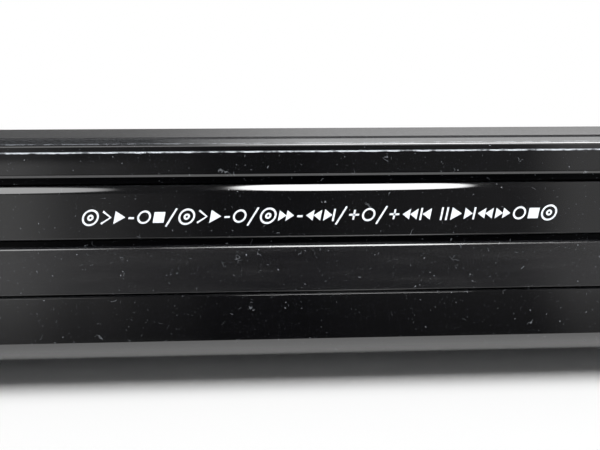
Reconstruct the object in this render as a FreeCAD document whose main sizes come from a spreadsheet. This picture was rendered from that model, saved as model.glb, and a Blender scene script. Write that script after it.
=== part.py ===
import FreeCAD, Part  # noqa: E401
import math
import os

import Sketcher
from FreeCAD import Placement, Rotation, Vector

# A slim full-width disc player with a motor-driven tray, in millimetres.
# +Z is up, the front faces -Y, and the origin lies on the table under the middle of the player.

SIZES = (
    # Outer sizes
    ("width", 430.0, "front panel, end to end"),
    ("depth", 207.0, "front keys to the ends of the rear sockets"),
    ("foot_height", 6.0, "table to the underside of the base"),
    ("sheet", 0.8, "thickness of the folded steel"),
    ("small_sides", 16.0, "sides of the prisms that stand for small round pieces"),
    ("fit_gap", 0.2, "clearance between pieces that are fixed together"),
    ("run_gap", 0.3, "clearance beside a piece that moves"),
    # Bands and grooves of the front panel, from the bottom up
    ("belly", 4.4, "height of the curved underside"),
    ("belly_depth", 9.0, "how far the curved underside runs back"),
    ("belly_radius", 13.0, "radius of the curved underside"),
    ("band_d", 7.45, "lowest band, with the keys"),
    ("groove_c", 0.33, "shadow line under the window"),
    ("band_c", 7.55, "window band"),
    ("groove_b", 1.22, "groove under the tray front"),
    ("band_b", 8.45, "tray front band"),
    ("groove_a", 1.4, "groove over the tray front"),
    ("band_a", 3.9, "top band"),
    ("bevel", 1.3, "bevel over the top band"),
    ("ledge_fall", 0.75, "fall of the top ledge towards the front"),
    ("ledge_depth", 5.3, "front face to the end of the ledge"),
    ("cover_step", 0.25, "top of the cover above the ledge"),
    ("groove_depth", 1.6, "depth of the grooves, and thickness of the window"),
    ("crease", 0.4, "small bevels along the edges of the bands"),
    ("band_round", 1.2, "round of the tray band's upper edge"),
    ("corner_round", 3.0, "round of the front panel's ends, seen from above"),
    ("window_end", 5.0, "ends of the window, from the ends of the front panel"),
    ("fascia_depth", 18.0, "front panel, front to back"),
    ("fascia_wall", 3.0, "front wall of the front panel"),
    ("rim_wall", 2.3, "rims of the front panel"),
    # Keys
    ("key_proud", 0.6, "how far the keys stand out of the front"),
    ("key_travel", 0.6, "how far a key goes in"),
    ("key_height", 4.6, "height of a key"),
    ("key_width", 14.0, "width of a key"),
    ("key_gap", 0.25, "clearance round a key"),
    ("key_flange", 1.0, "flange round the back of a key"),
    ("flange_thick", 0.7, "thickness of that flange"),
    ("key_dish", 60.0, "radius of the hollow across a key"),
    ("key_post", 2.4, "side of the post behind a key"),
    ("post_depth", 1.0, "post inside its switch, with the key out"),
    ("key_pitch", 18.0, "spacing of the row of keys on the right"),
    ("key_last", 33.0, "last key of that row, from the right end of the front panel"),
    ("open_pitch", 30.0, "open and close key before that row"),
    ("power_end", 25.0, "power key, from the left end of the front panel"),
    ("switch_side", 6.0, "side of a key's switch"),
    ("switch_rise", 3.5, "height of a key's switch over its board"),
    # Front board
    ("board", 1.6, "thickness of the circuit boards"),
    ("front_board_y", 10.9, "front board behind the front face"),
    ("front_board_low", 3.5, "front board above the underside of the base"),
    ("front_board_high", 2.4, "front board's top under the tray front"),
    ("front_board_end", 15.0, "ends of the front board, from the ends of the front panel"),
    ("front_rib", 3.0, "width of the ribs in front of the board"),
    ("display_x", 95.0, "display, from the middle"),
    ("display_width", 66.0, "width of the display"),
    ("display_height", 5.2, "height of the display"),
    ("display_gap", 1.0, "display behind the front wall"),
    ("view_margin", 1.0, "opening for the display beyond it at each end"),
    ("sensor_end", 65.0, "remote sensor, from the left end of the front panel"),
    ("sensor_lens", 4.2, "side of the remote sensor's lens"),
    ("sensor_can", 5.2, "side of the remote sensor's can"),
    ("sensor_depth", 4.0, "depth of that can"),
    ("lamp_end", 47.0, "standby lamp, from the left end of the front panel"),
    ("lamp_width", 4.0, "width of the standby lamp"),
    ("lamp_height", 2.0, "height of the standby lamp"),
    ("lamp_gap", 0.4, "lamp and sensor behind the window"),
    # Cover, base and rear panel
    ("cover_inset", 1.5, "cover's sides inside the ends of the front panel"),
    ("cover_low", 1.0, "cover's lower edge above the underside of the base"),
    ("cover_bend", 1.6, "outer radius of the cover's folds"),
    ("lip_height", 7.5, "cover's lip over the rear panel"),
    ("side_flange", 21.0, "height of the base's side flanges"),
    ("front_flange", 9.0, "height of the base's front flange"),
    ("panel_foot", 8.0, "rear panel's flange on the base"),
    ("slot_width", 2.4, "width of a vent slot"),
    ("slot_length", 26.0, "length of a vent slot"),
    ("slot_pitch", 7.5, "spacing of the vent slots"),
    ("slot_count", 7.0, "vent slots in a group"),
    ("vent_end", 65.0, "vent groups, from the ends of the front panel"),
    ("vent_y", 40.0, "vent groups behind the middle"),
    ("screw_head", 2.9, "radius of the cover screws' heads"),
    ("hex_head", 2.8, "radius of the inner screws' hexagonal heads"),
    ("head_height", 1.1, "height of the screw heads"),
    ("side_screw_z", 17.0, "side screws above the underside of the base"),
    ("side_screw_y", 12.0, "side screws behind the middle"),
    ("rear_screw_end", 65.0, "rear screws, from the ends of the front panel"),
    ("foot_radius", 11.0, "radius of a foot"),
    ("foot_end", 37.0, "feet, from the ends of the front panel"),
    ("foot_front", 36.0, "front feet behind the front face"),
    ("foot_back", 24.0, "rear feet in front of the rear panel"),
    # Rear sockets
    ("jack_proud", 9.3, "phono sockets beyond the rear panel"),
    ("jack_radius", 4.15, "outer radius of a phono socket's shell"),
    ("jack_wall", 0.5, "wall of a phono socket's shell"),
    ("jack_core", 2.6, "radius of a phono socket's insert"),
    ("jack_bore", 1.65, "radius of the hole for the plug's pin"),
    ("jack_bore_depth", 8.0, "depth of that hole"),
    ("jack_recess", 1.0, "insert behind the end of the shell"),
    ("jack_pitch", 14.0, "spacing of the phono sockets"),
    ("jack_end", 47.0, "last phono socket, from the right end of the front panel"),
    ("jack_count", 3.0, "phono sockets"),
    ("jack_block", 14.0, "width of the block for each socket"),
    ("jack_block_depth", 14.0, "block behind the rear panel"),
    ("jack_block_rise", 13.5, "height of the block over the board"),
    ("inlet_end", 33.0, "mains inlet, from the left end of the front panel"),
    ("inlet_width", 24.0, "width of the mains inlet"),
    ("inlet_rise", 14.0, "height of the mains inlet"),
    ("inlet_depth", 16.0, "mains inlet, front to back"),
    ("inlet_proud", 1.0, "mains inlet beyond the rear panel"),
    ("inlet_lobe", 4.3, "radius of each half of its figure of eight"),
    ("inlet_half", 3.3, "those halves and the pins, from the middle of the inlet"),
    ("inlet_well", 10.0, "depth of the inlet's well"),
    ("inlet_pin", 1.2, "radius of the inlet's pins"),
    ("pin_short", 2.0, "inlet's pins behind its mouth"),
    # Main and power boards
    ("standoff", 6.0, "height of the hexagonal standoffs under the boards"),
    ("standoff_radius", 3.2, "radius of those standoffs"),
    ("board_beside", 8.5, "boards beside the loader's ears"),
    ("board_side", 8.7, "boards inside the base's sides"),
    ("board_edge", 7.0, "board screws from the edges of the boards"),
    ("board_back", 1.0, "boards in front of the rear panel"),
    ("main_length", 112.4, "main board, front to back"),
    ("power_length", 145.0, "power board, front to back"),
    ("smooth_in", 31.0, "mains filter capacitor, from its board's outer edge"),
    ("smooth_y", 12.0, "mains filter capacitor behind the middle"),
    ("smooth_radius", 9.0, "radius of the mains filter capacitor"),
    ("smooth_rise", 20.0, "height of the mains filter capacitor"),
    ("output_in", 15.0, "output capacitors, from their board's inner edge"),
    ("output_y", -34.0, "first output capacitor behind the middle"),
    ("output_radius", 4.0, "radius of the output capacitors"),
    ("output_rise", 12.0, "height of the output capacitors"),
    ("output_pitch", 11.0, "spacing of the output capacitors"),
    ("output_count", 2.0, "output capacitors"),
    ("core_in", 45.0, "transformer, from its board's inner edge"),
    ("core_y", -8.0, "transformer behind the middle"),
    ("core_width", 26.0, "width of the transformer's core"),
    ("core_depth", 10.0, "depth of the transformer's core"),
    ("core_rise", 19.0, "height of the transformer's core"),
    ("core_leg", 5.0, "width of the core's outer legs"),
    ("bobbin_depth", 21.0, "depth of the transformer's bobbin"),
    ("sink_in", 31.0, "heat sink, from its board's outer edge"),
    ("sink_y", -24.0, "heat sink behind the middle"),
    ("fin_count", 5.0, "fins of the heat sink"),
    ("fin_pitch", 5.0, "spacing of the fins"),
    ("fin_thick", 1.4, "thickness of a fin"),
    ("fin_depth", 9.0, "depth of the fins"),
    ("sink_rise", 22.0, "height of the heat sink"),
    ("fuse_y", 52.0, "mains fuse behind the middle"),
    ("fuse_radius", 2.6, "radius of the mains fuse"),
    ("fuse_length", 20.0, "length of the mains fuse"),
    ("fuse_rise", 3.6, "axis of the mains fuse above its board"),
    ("clip_width", 5.0, "width of the fuse clips"),
    ("clip_side", 7.0, "side of the fuse clips"),
    ("chip_y", 40.0, "chips behind the main board's front edge"),
    ("decoder_in", 25.0, "decoder chip, from its board's inner edge"),
    ("decoder_side", 22.0, "side of the decoder chip"),
    ("chip_rise", 1.6, "height of the chips"),
    ("chip_in", 19.0, "last of the smaller chips, from their board's outer edge"),
    ("chip_width", 10.0, "width of the smaller chips"),
    ("chip_length", 18.0, "length of the smaller chips"),
    ("chip_pitch", 17.0, "spacing of the smaller chips"),
    ("chip_count", 3.0, "smaller chips"),
    ("can_in", 27.0, "first of the main board's capacitors, from its inner edge"),
    ("can_y", 68.0, "those capacitors behind the main board's front edge"),
    ("can_radius", 3.2, "radius of the main board's capacitors"),
    ("can_rise", 8.0, "height of the main board's capacitors"),
    ("can_pitch", 16.0, "spacing of the main board's capacitors"),
    ("can_count", 2.0, "capacitors on the main board"),
    ("cable_in", 55.0, "flat cable, from the main board's inner edge"),
    ("cable_width", 20.0, "width of the flat cable"),
    ("cable_thick", 0.8, "thickness of the flat cable"),
    ("cable_run", 12.0, "flat cable's level run behind the front board"),
    ("plug_depth", 6.0, "depth of the flat cable's plugs"),
    ("plug_rise", 5.0, "height of the flat cable's plugs"),
    ("plug_level", 10.0, "front plug above the underside of the front board"),
    ("plug_edge", 3.0, "main board's plug behind the board's front edge"),
    # Disc tray
    ("door_width", 146.0, "tray front, end to end"),
    ("door_gap", 0.6, "clearance at each end of the tray front"),
    ("door_thick", 4.5, "thickness of the tray front"),
    ("tray_lip", 1.4, "tray between its front and the disc recess"),
    ("recess_radius", 61.0, "recess for a disc of 120 mm"),
    ("small_radius", 41.0, "recess for a disc of 80 mm"),
    ("tray_width", 132.0, "tray, side to side"),
    ("tray_length", 164.4, "tray, front to back"),
    ("tray_lift", 0.35, "tray's underside above the tray front's lower edge"),
    ("tray_rise", 6.6, "tray, underside to rim"),
    ("tray_under", 2.0, "open space under the tray's floor"),
    ("recess_depth", 2.4, "disc recess below the rim"),
    ("small_depth", 0.9, "small recess below the large one"),
    ("slot_half", 20.0, "half width of the tray's slot"),
    ("slot_ahead", 18.0, "tray's slot ahead of the disc's axis"),
    ("skirt", 3.0, "thickness of the tray's side skirts"),
    ("tail_rim", 3.0, "rim round the tray's rear deck"),
    ("tail_depth", 3.4, "rear deck below the rim"),
    ("tray_side_gap", 0.5, "clearance beside the tray"),
    ("tray_travel", 130.0, "how far the tray comes out"),
    # Loading gears
    ("tooth", 1.25, "module of the gears and the rack"),
    ("addendum", 0.8, "tooth height over the pitch line, in modules"),
    ("dedendum", 1.05, "tooth depth under the pitch line, in modules"),
    ("backlash", 0.1, "thinning of each tooth at the pitch line"),
    ("flank_angle", 20.0, "pressure angle of the teeth, in degrees"),
    ("wheel_teeth", 24.0, "teeth of the drive gear's wheel"),
    ("pinion_teeth", 13.0, "teeth of the drive gear's pinion"),
    ("pulley_teeth", 10.0, "teeth of the pulley gear"),
    ("rack_wall", 1.5, "back of the rack behind its teeth"),
    ("rack_spare", 6.0, "rack beyond its working length at each end"),
    ("gear_x", 46.0, "drive gear, from the middle to the left"),
    ("gear_y", 30.9, "drive gear behind the front face"),
    ("gear_lift", 0.9, "gears' teeth above the gear plate"),
    ("wheel_thick", 2.0, "thickness of the wheel"),
    ("post_radius", 2.0, "radius of the posts that the gears turn on"),
    ("bore_gap", 0.1, "radial clearance of a bore on its post, pin or rod"),
    ("pulley_radius", 10.0, "outer radius of the pulley"),
    ("pulley_flange", 0.45, "thickness of the pulleys' flanges"),
    ("groove_width", 1.4, "width of the pulleys' grooves"),
    ("pulley_groove", 1.2, "depth of the pulleys' grooves"),
    ("belt_side", 1.1, "side of the square belt"),
    ("belt_steps", 12.0, "straight steps of the belt round each pulley"),
    ("belt_gap", 0.15, "belt over the bottom of its grooves"),
    ("motor_x", 8.0, "loading motor, from the middle"),
    ("motor_y", 29.1, "loading motor behind the front face"),
    ("motor_radius", 9.2, "radius of the loading motor"),
    ("motor_flat", 14.6, "loading motor across its flats"),
    ("motor_rise", 10.0, "height of the loading motor"),
    ("motor_shaft", 1.0, "radius of its shaft"),
    ("motor_pulley", 3.6, "outer radius of the motor's pulley"),
    # Loader frame
    ("wall", 2.0, "thickness of the loader's walls"),
    ("loader_front", 19.4, "loader's front behind the front face"),
    ("loader_length", 155.5, "loader, front to back"),
    ("loader_lift", 1.5, "loader's floor above the base"),
    ("loader_floor", 1.2, "thickness of the loader's floor"),
    ("runner_lap", 3.5, "tray's skirts over the runners"),
    ("runner_thick", 2.1, "thickness of the tray's runners"),
    ("plate_drop", 5.8, "gear plate's top below the tray"),
    ("plate_thick", 2.0, "thickness of the gear plate"),
    ("plate_depth", 19.0, "gear plate, front to back"),
    ("sill_depth", 23.5, "front part of the loader's floor"),
    ("tab_reach", 4.5, "tabs over the tray's rim"),
    ("tab_length", 14.0, "length of the tabs"),
    ("tab_thick", 1.4, "thickness of the tabs"),
    ("tab_back", 30.0, "rear tabs behind the front ones"),
    ("frame_gap", 1.0, "loader's floor and brackets beside the traverse"),
    ("tail_gap", 5.0, "loader's floor behind the traverse"),
    ("ear_reach", 8.0, "loader's ears beyond its walls"),
    ("ear_length", 10.0, "length of an ear"),
    ("ear_thick", 2.5, "thickness of an ear"),
    ("ear_in", 16.0, "ears from the loader's front and back"),
    ("hook_x", 34.0, "cam slider's hooks, from the middle"),
    ("hook_width", 4.0, "width of those hooks"),
    ("hook_thick", 1.5, "thickness of those hooks"),
    ("hook_rise", 3.0, "height of those hooks"),
    # Traverse, which tips down to free the disc
    ("deck_drop", 4.5, "deck plate's underside below the tray"),
    ("deck_thick", 1.2, "thickness of the deck plate"),
    ("deck_inset", 2.0, "deck plate inside the traverse frame"),
    ("deck_front", 19.0, "deck plate ahead of the disc's axis"),
    ("deck_hole", 12.0, "half width of the pickup's opening"),
    ("hole_ahead", 11.0, "that opening ahead of the lens"),
    ("damper_rise", 1.5, "height of the rubber blocks on the traverse frame"),
    ("damper_side", 6.0, "side of those blocks"),
    ("damper_in", 12.0, "blocks from the frame's front and back"),
    ("frame_half", 56.0, "half width of the traverse frame"),
    ("frame_front", 22.0, "traverse frame ahead of the disc's axis"),
    ("frame_back", 86.0, "traverse frame behind the disc's axis"),
    ("frame_bar", 8.0, "width of the frame's bars"),
    ("frame_rise", 5.3, "height of the frame"),
    ("pivot_back", 81.0, "pivot behind the disc's axis"),
    ("pivot_radius", 2.0, "radius of the pivot pins"),
    ("pivot_reach", 3.6, "length of the pivot pins"),
    ("bracket_half", 4.5, "half depth of the pivot brackets"),
    ("bracket_rise", 3.5, "pivot brackets above the pivot"),
    ("bracket_thick", 3.0, "thickness of the pivot brackets"),
    ("tip_angle", 3.5, "how far the traverse tips, in degrees"),
    ("pin_radius", 1.5, "radius of the traverse's front pins"),
    ("pin_x", 20.0, "front pins, from the middle"),
    ("pin_reach", 6.0, "length of the front pins"),
    ("slider_travel", 12.0, "travel of the cam slider"),
    ("slider_thick", 2.0, "thickness of the cam slider"),
    ("slider_rise", 12.2, "height of the cam slider"),
    ("slider_end", 6.0, "cam slider beyond its slots"),
    ("slot_play", 0.2, "clearance of a pin in its slot"),
    # Spindle
    ("seat_rise", 5.5, "disc seat above the tray's underside"),
    ("seat_radius", 12.0, "radius of the turntable"),
    ("seat_thick", 2.0, "thickness of the turntable"),
    ("hub_radius", 7.35, "radius of the hub that centres a disc"),
    ("hub_rise", 1.2, "hub above the disc seat"),
    ("spindle_radius", 1.2, "radius of the spindle's shaft"),
    ("spindle_can", 9.0, "radius of the spindle motor"),
    ("spindle_rise", 6.0, "height of the spindle motor"),
    ("spindle_hole", 4.0, "radius of the deck plate's hole for the shaft"),
    # Pickup
    ("rod_radius", 1.5, "radius of the guide rods"),
    ("rod_x", 26.0, "guide rods, from the middle"),
    ("rod_drop", 4.8, "guide rods below the deck plate"),
    ("rod_ahead", 8.0, "guide rods ahead of the disc's axis"),
    ("rod_length", 84.0, "length of the guide rods"),
    ("bearer", 3.0, "thickness of the blocks between which the rods are held"),
    ("bearer_wall", 1.3, "those blocks beyond the rods"),
    ("thread_x", 37.0, "lead screw, from the middle"),
    ("thread_drop", 6.8, "lead screw below the deck plate"),
    ("thread_radius", 1.5, "radius of the lead screw"),
    ("thread_length", 69.0, "length of the lead screw"),
    ("sled_can", 5.0, "radius of the sled motor"),
    ("sled_can_length", 12.0, "length of the sled motor"),
    ("saddle_half", 3.0, "half width of the sled motor's saddle"),
    ("sled_half", 29.5, "half width of the pickup"),
    ("sled_ahead", 9.0, "pickup ahead of the lens"),
    ("sled_behind", 14.0, "pickup behind the lens"),
    ("sled_drop", 1.1, "pickup's top below the deck plate"),
    ("sled_rise", 7.4, "height of the pickup"),
    ("neck_half", 18.0, "half width of the pickup between the rods"),
    ("tower_half", 9.0, "half width of the pickup's head"),
    ("tower_depth", 14.0, "depth of the pickup's head"),
    ("tower_rise", 3.8, "pickup's head above the deck plate"),
    ("nut_half", 3.0, "half width of the arm over the lead screw"),
    ("lens_back", 24.0, "lens behind the disc's axis, at its innermost"),
    ("lens_radius", 2.6, "radius of the lens"),
    ("lens_frame", 9.0, "side of the lens's frame"),
    ("lens_frame_rise", 1.4, "height of the lens's frame"),
    ("lens_rise", 0.8, "lens above its frame"),
    ("focus_gap", 0.7, "lens's frame above the pickup's head"),
    # Clamp
    ("bridge_rise", 10.2, "clamp bridge above the tray's underside"),
    ("bridge_thick", 1.0, "thickness of the clamp bridge"),
    ("bridge_half", 20.0, "clamp bridge before and behind the disc's axis"),
    ("puck_hole", 11.0, "radius of the hole in the clamp bridge"),
    ("puck_radius", 10.0, "clamp puck in the hole"),
    ("puck_flange", 18.0, "radius of the clamp puck's flange"),
    ("puck_rim", 1.5, "thickness of the clamp puck's flange"),
    ("puck_gap", 1.5, "clamp puck above the disc seat"),
)

doc = FreeCAD.newDocument("disc_player")
sheet = doc.addObject("Spreadsheet::Sheet", "Sizes")
for row, (name, number, note) in enumerate(SIZES, start=1):
    sheet.set(f"A{row}", name)
    sheet.set(f"B{row}", str(number))
    sheet.setAlias(f"B{row}", name)
    sheet.set(f"C{row}", note)
doc.recompute()


# Lengths worked out from the sheet


def formula_of(number):
    return number.formula if isinstance(number, Length) else repr(float(number))


class Length:
    """A number worked out from the sheet: its formula for the sheet, and its value now."""

    def __init__(self, formula, now):
        self.formula = formula
        self.now = now

    def __float__(self):
        return self.now

    def __int__(self):
        return round(self.now)

    def __neg__(self):
        return Length(f"(-{self.formula})", -self.now)

    def __add__(self, other):
        return Length(f"({self.formula} + {formula_of(other)})", self.now + float(other))

    def __radd__(self, other):
        return self + other

    def __sub__(self, other):
        return Length(f"({self.formula} - {formula_of(other)})", self.now - float(other))

    def __mul__(self, other):
        return Length(f"({self.formula} * {formula_of(other)})", self.now * float(other))

    def __rmul__(self, other):
        return self * other

    def __truediv__(self, other):
        return Length(f"({self.formula} / {formula_of(other)})", self.now / float(other))


class Dimensions:
    """The sheet's sizes by name."""

    def __getattr__(self, name):
        return Length(f"Sizes.{name}", float(getattr(sheet, name)))


def sine(angle):
    return Length(f"sin({angle.formula})", math.sin(math.radians(angle.now)))


def root(number):
    return Length(f"sqrt({number.formula})", math.sqrt(number.now))


s = Dimensions()
zero = Length("0", 0.0)

# Places, from the front face, the table and the middle

half_width = s.width / 2
face = s.key_proud - s.depth / 2
rear = s.depth / 2 - s.jack_proud
floor_z = s.foot_height + s.sheet
d_low = s.foot_height + s.belly
d_high = d_low + s.band_d
c_low = d_high + s.groove_c
c_high = c_low + s.band_c
b_low = c_high + s.groove_b
b_high = b_low + s.band_b
a_low = b_high + s.groove_a
a_high = a_low + s.band_a
ledge_z = a_high + s.bevel + s.ledge_fall
top_z = ledge_z + s.cover_step
ceiling = top_z - s.sheet
groove_y = face + s.groove_depth
wall_y = face + s.fascia_wall
rim_y = face + s.fascia_depth
ledge_y = face + s.ledge_depth
cover_half = half_width - s.cover_inset
base_half = cover_half - s.sheet - s.fit_gap
stub_half = cover_half - s.cover_bend
window_half = half_width - s.window_end
panel_y = rear - s.sheet
lip_y = rear + s.sheet
lip_z = top_z - s.lip_height
side_screw_z = s.foot_height + s.side_screw_z
sensor_x = s.sensor_end - half_width
lamp_x = s.lamp_end - half_width
inlet_x = s.inlet_end - half_width
board_z = floor_z + s.standoff
board_top = board_z + s.board
board_back = panel_y - s.board_back
main_front = board_back - s.main_length
power_front = board_back - s.power_length
key_z = (d_low + d_high) / 2
window_z = (c_low + c_high) / 2
front_board_y = face + s.front_board_y
front_board_z = (s.foot_height + s.front_board_low, b_low - s.front_board_high)
tray_z = b_low + s.tray_lift
tray_floor = tray_z + s.tray_under
tray_top = tray_z + s.tray_rise
tray_front = face + s.door_thick
tray_back = tray_front + s.tray_length
disc_y = tray_front + s.tray_lip + s.recess_radius
wall_in = s.tray_width / 2 + s.tray_side_gap
wall_out = wall_in + s.wall
board_in = wall_out + s.ear_reach + s.board_beside
board_out = base_half - s.sheet - s.board_side
loader_y = face + s.loader_front
loader_back = loader_y + s.loader_length
loader_z = floor_z + s.loader_lift
sill_z = loader_z + s.loader_floor
loader_top = tray_top + s.fit_gap + s.tab_thick
plate_z = tray_z - s.plate_drop
gear_x = -s.gear_x
gear_y = face + s.gear_y
wheel_radius = s.tooth * s.wheel_teeth / 2
pinion_radius = s.tooth * s.pinion_teeth / 2
pulley_x = gear_x + wheel_radius + s.tooth * s.pulley_teeth / 2
wheel_z = plate_z + s.gear_lift
pinion_z = wheel_z + s.wheel_thick
pulley_z = pinion_z + s.run_gap
groove_z = pulley_z + s.pulley_flange
pulley_top = groove_z + s.groove_width + s.pulley_flange
gear_top = tray_floor - s.run_gap
motor_y = face + s.motor_y
motor_top = plate_z - s.plate_thick
deck_z = tray_z - s.deck_drop
deck_top = deck_z + s.deck_thick
frame_top = deck_z - s.damper_rise
frame_z = frame_top - s.frame_rise
frame_front = disc_y - s.frame_front
frame_back = disc_y + s.frame_back
pivot_y = disc_y + s.pivot_back
pivot_z = frame_z + s.frame_rise / 2
slider_front = loader_y + s.plate_depth + s.fit_gap
slider_back = slider_front + s.slider_thick
slider_z = sill_z + s.fit_gap
slider_drop = (pivot_y - (slider_front + slider_back) / 2) * sine(s.tip_angle)
seat_z = tray_z + s.seat_rise
rod_front = disc_y - s.rod_ahead
rod_back = rod_front + s.rod_length
rod_z = deck_z - s.rod_drop
thread_z = deck_z - s.thread_drop
thread_front = rod_front + s.bearer + s.run_gap
thread_back = thread_front + s.thread_length
sled_can_y = (thread_back + s.run_gap, thread_back + s.run_gap + s.sled_can_length)
lens_y = disc_y + s.lens_back
sled_z = deck_z - s.sled_drop - s.sled_rise
head_z = deck_top + s.tower_rise
bridge_z = tray_z + s.bridge_rise
bridge_top = bridge_z + s.bridge_thick


# Shapes


def bind(piece, **numbers):
    """Tie properties of a piece to the sheet."""
    for field, number in numbers.items():
        piece.setExpression(field.replace("_", "."), formula_of(number))


def about(middle, size):
    return (middle - size / 2, middle + size / 2)


def beyond(start, sense, size):
    """The span of this size on one side of a place."""
    return (start, start + size) if sense > 0 else (start - size, start)


def mirrored(sense, near, far):
    """A span on the right, or the same one on the left."""
    return (near, far) if sense > 0 else (-far, -near)


def box(x, y, z):
    piece = doc.addObject("Part::Box", "box")
    bind(piece, Length=x[1] - x[0], Width=y[1] - y[0], Height=z[1] - z[0])
    bind(piece, Placement_Base_x=x[0], Placement_Base_y=y[0], Placement_Base_z=z[0])
    return piece


def round_bar(radius, length, sides):
    """A cylinder, or a prism with this many sides."""
    if sides is None:
        piece = doc.addObject("Part::Cylinder", "cylinder")
        bind(piece, Radius=radius, Height=length)
        return piece
    piece = doc.addObject("Part::Prism", "prism")
    piece.Polygon = int(sides)
    bind(piece, Circumradius=radius, Height=length)
    return piece


def upright(x, y, z, radius, sides=None):
    piece = round_bar(radius, z[1] - z[0], sides)
    bind(piece, Placement_Base_x=x, Placement_Base_y=y, Placement_Base_z=z[0])
    return piece


def lengthwise(x, y, z, radius, sides=None):
    """A round bar from front to back."""
    piece = round_bar(radius, y[1] - y[0], sides)
    piece.Placement = Placement(Vector(), Rotation(Vector(1, 0, 0), -90))
    bind(piece, Placement_Base_x=x, Placement_Base_y=y[0], Placement_Base_z=z)
    return piece


def crosswise(x, y, z, radius, sides=None):
    """A round bar from left to right."""
    piece = round_bar(radius, x[1] - x[0], sides)
    piece.Placement = Placement(Vector(), Rotation(Vector(0, 1, 0), 90))
    bind(piece, Placement_Base_x=x[0], Placement_Base_y=y, Placement_Base_z=z)
    return piece


def fused(*pieces):
    piece = doc.addObject("Part::MultiFuse", "fused")
    piece.Shapes = list(pieces)
    piece.Refine = True
    return piece


def grouped(pieces):
    """Separate solids that share a node."""
    piece = doc.addObject("Part::Compound", "group")
    piece.Links = list(pieces)
    return piece


def cut(base, *tools):
    piece = doc.addObject("Part::Cut", "cut")
    piece.Base = base
    piece.Tool = tools[0] if len(tools) == 1 else fused(*tools)
    return piece


def common(first, second):
    piece = doc.addObject("Part::Common", "common")
    piece.Base = first
    piece.Tool = second
    return piece


def edge_between(start, end, radius):
    """A sketch edge, and which of its ends comes first: an arc bulges out of a part drawn anticlockwise."""
    a = Vector(float(start[0]), float(start[1]), 0)
    b = Vector(float(end[0]), float(end[1]), 0)
    if radius is None:
        return Part.LineSegment(a, b), 1, 2
    size = abs(float(radius))
    sense = 1 if float(radius) > 0 else -1
    chord = b - a
    left = Vector(-chord.y, chord.x, 0).normalize()
    centre = (a + b) / 2 + left * sense * math.sqrt(max(size**2 - chord.Length**2 / 4, 0))
    first, last = (a, b) if sense > 0 else (b, a)
    angles = [math.atan2(end.y - centre.y, end.x - centre.x) for end in (first, last)]
    if angles[1] < angles[0]:
        angles[1] += 2 * math.pi
    arc = Part.ArcOfCircle(Part.Circle(centre, Vector(0, 0, 1), size), *angles)
    return (arc, 1, 2) if sense > 0 else (arc, 2, 1)


def draw(sketch, corners):
    """Draw a closed outline: straight to each corner, or by an arc where the corner gives a radius."""
    base = sketch.GeometryCount
    count = len(corners)
    ends = []
    for index, corner in enumerate(corners):
        target = corners[(index + 1) % count]
        radius = target[2] if len(target) > 2 else None
        edge, start, end = edge_between(corner, target, radius)
        sketch.addGeometry(edge)
        ends.append((start, end))
    for index, corner in enumerate(corners):
        edge = base + index
        before = base + (index - 1) % count
        place = (edge, ends[index][0])
        sketch.addConstraint(Sketcher.Constraint("Coincident", before, ends[index - 1][1], *place))
        for kind, number in (("DistanceX", corner[0]), ("DistanceY", corner[1])):
            rule = sketch.addConstraint(Sketcher.Constraint(kind, -1, 1, *place, float(number)))
            sketch.setExpression(f"Constraints[{rule}]", formula_of(number))
        if len(corner) > 2:
            rule = sketch.addConstraint(Sketcher.Constraint("Radius", before, abs(float(corner[2]))))
            sign = 1 if float(corner[2]) > 0 else -1
            sketch.setExpression(f"Constraints[{rule}]", formula_of(sign * corner[2]))


def sketched(body, plane, outlines):
    sketch = body.newObject("Sketcher::SketchObject", "outline")
    origin = next(item for item in body.Origin.OriginFeatures if item.Role == plane)
    sketch.AttachmentSupport = [(origin, "")]
    sketch.MapMode = "FlatFace"
    for outline in outlines:
        draw(sketch, outline)
    return sketch


def padded(plane, start, size, outlines):
    body = doc.addObject("PartDesign::Body", "body")
    sketch = sketched(body, plane, outlines)
    bind(sketch, AttachmentOffset_Base_z=start)
    pad = body.newObject("PartDesign::Pad", "pad")
    pad.Profile = sketch
    bind(pad, Length=size)
    return body


def plate(z, *outlines):
    """A plan outline, x and y, between two heights."""
    return padded("XY_Plane", z[0], z[1] - z[0], outlines)


def slab(y, *outlines):
    """A front outline, x and z, between two depths."""
    return padded("XZ_Plane", -y[1], y[1] - y[0], outlines)


def bar(x, *outlines):
    """A side outline, y and z, between two places across."""
    return padded("YZ_Plane", x[0], x[1] - x[0], outlines)


def turned(x, y, outline):
    """A side outline, radius and height, turned about an upright axis."""
    body = doc.addObject("PartDesign::Body", "body")
    sketch = sketched(body, "XZ_Plane", [outline])
    turn = body.newObject("PartDesign::Revolution", "turn")
    turn.Profile = sketch
    turn.ReferenceAxis = (sketch, ["V_Axis"])
    turn.Angle = 360
    bind(body, Placement_Base_x=x, Placement_Base_y=y)
    return body


def rectangle(x, y):
    return [(x[0], y[0]), (x[1], y[0]), (x[1], y[1]), (x[0], y[1])]


nodes = {}


def keep(name, piece):
    """Give a finished piece its own name."""
    piece.Label = name
    nodes[name] = piece


# Where the repeated pieces stand

HEXAGON = 6
ROW_KEYS = ("stop_button", "play_button", "skip_back_button", "skip_forward_button")
SIDES = (-1, 1)

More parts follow.
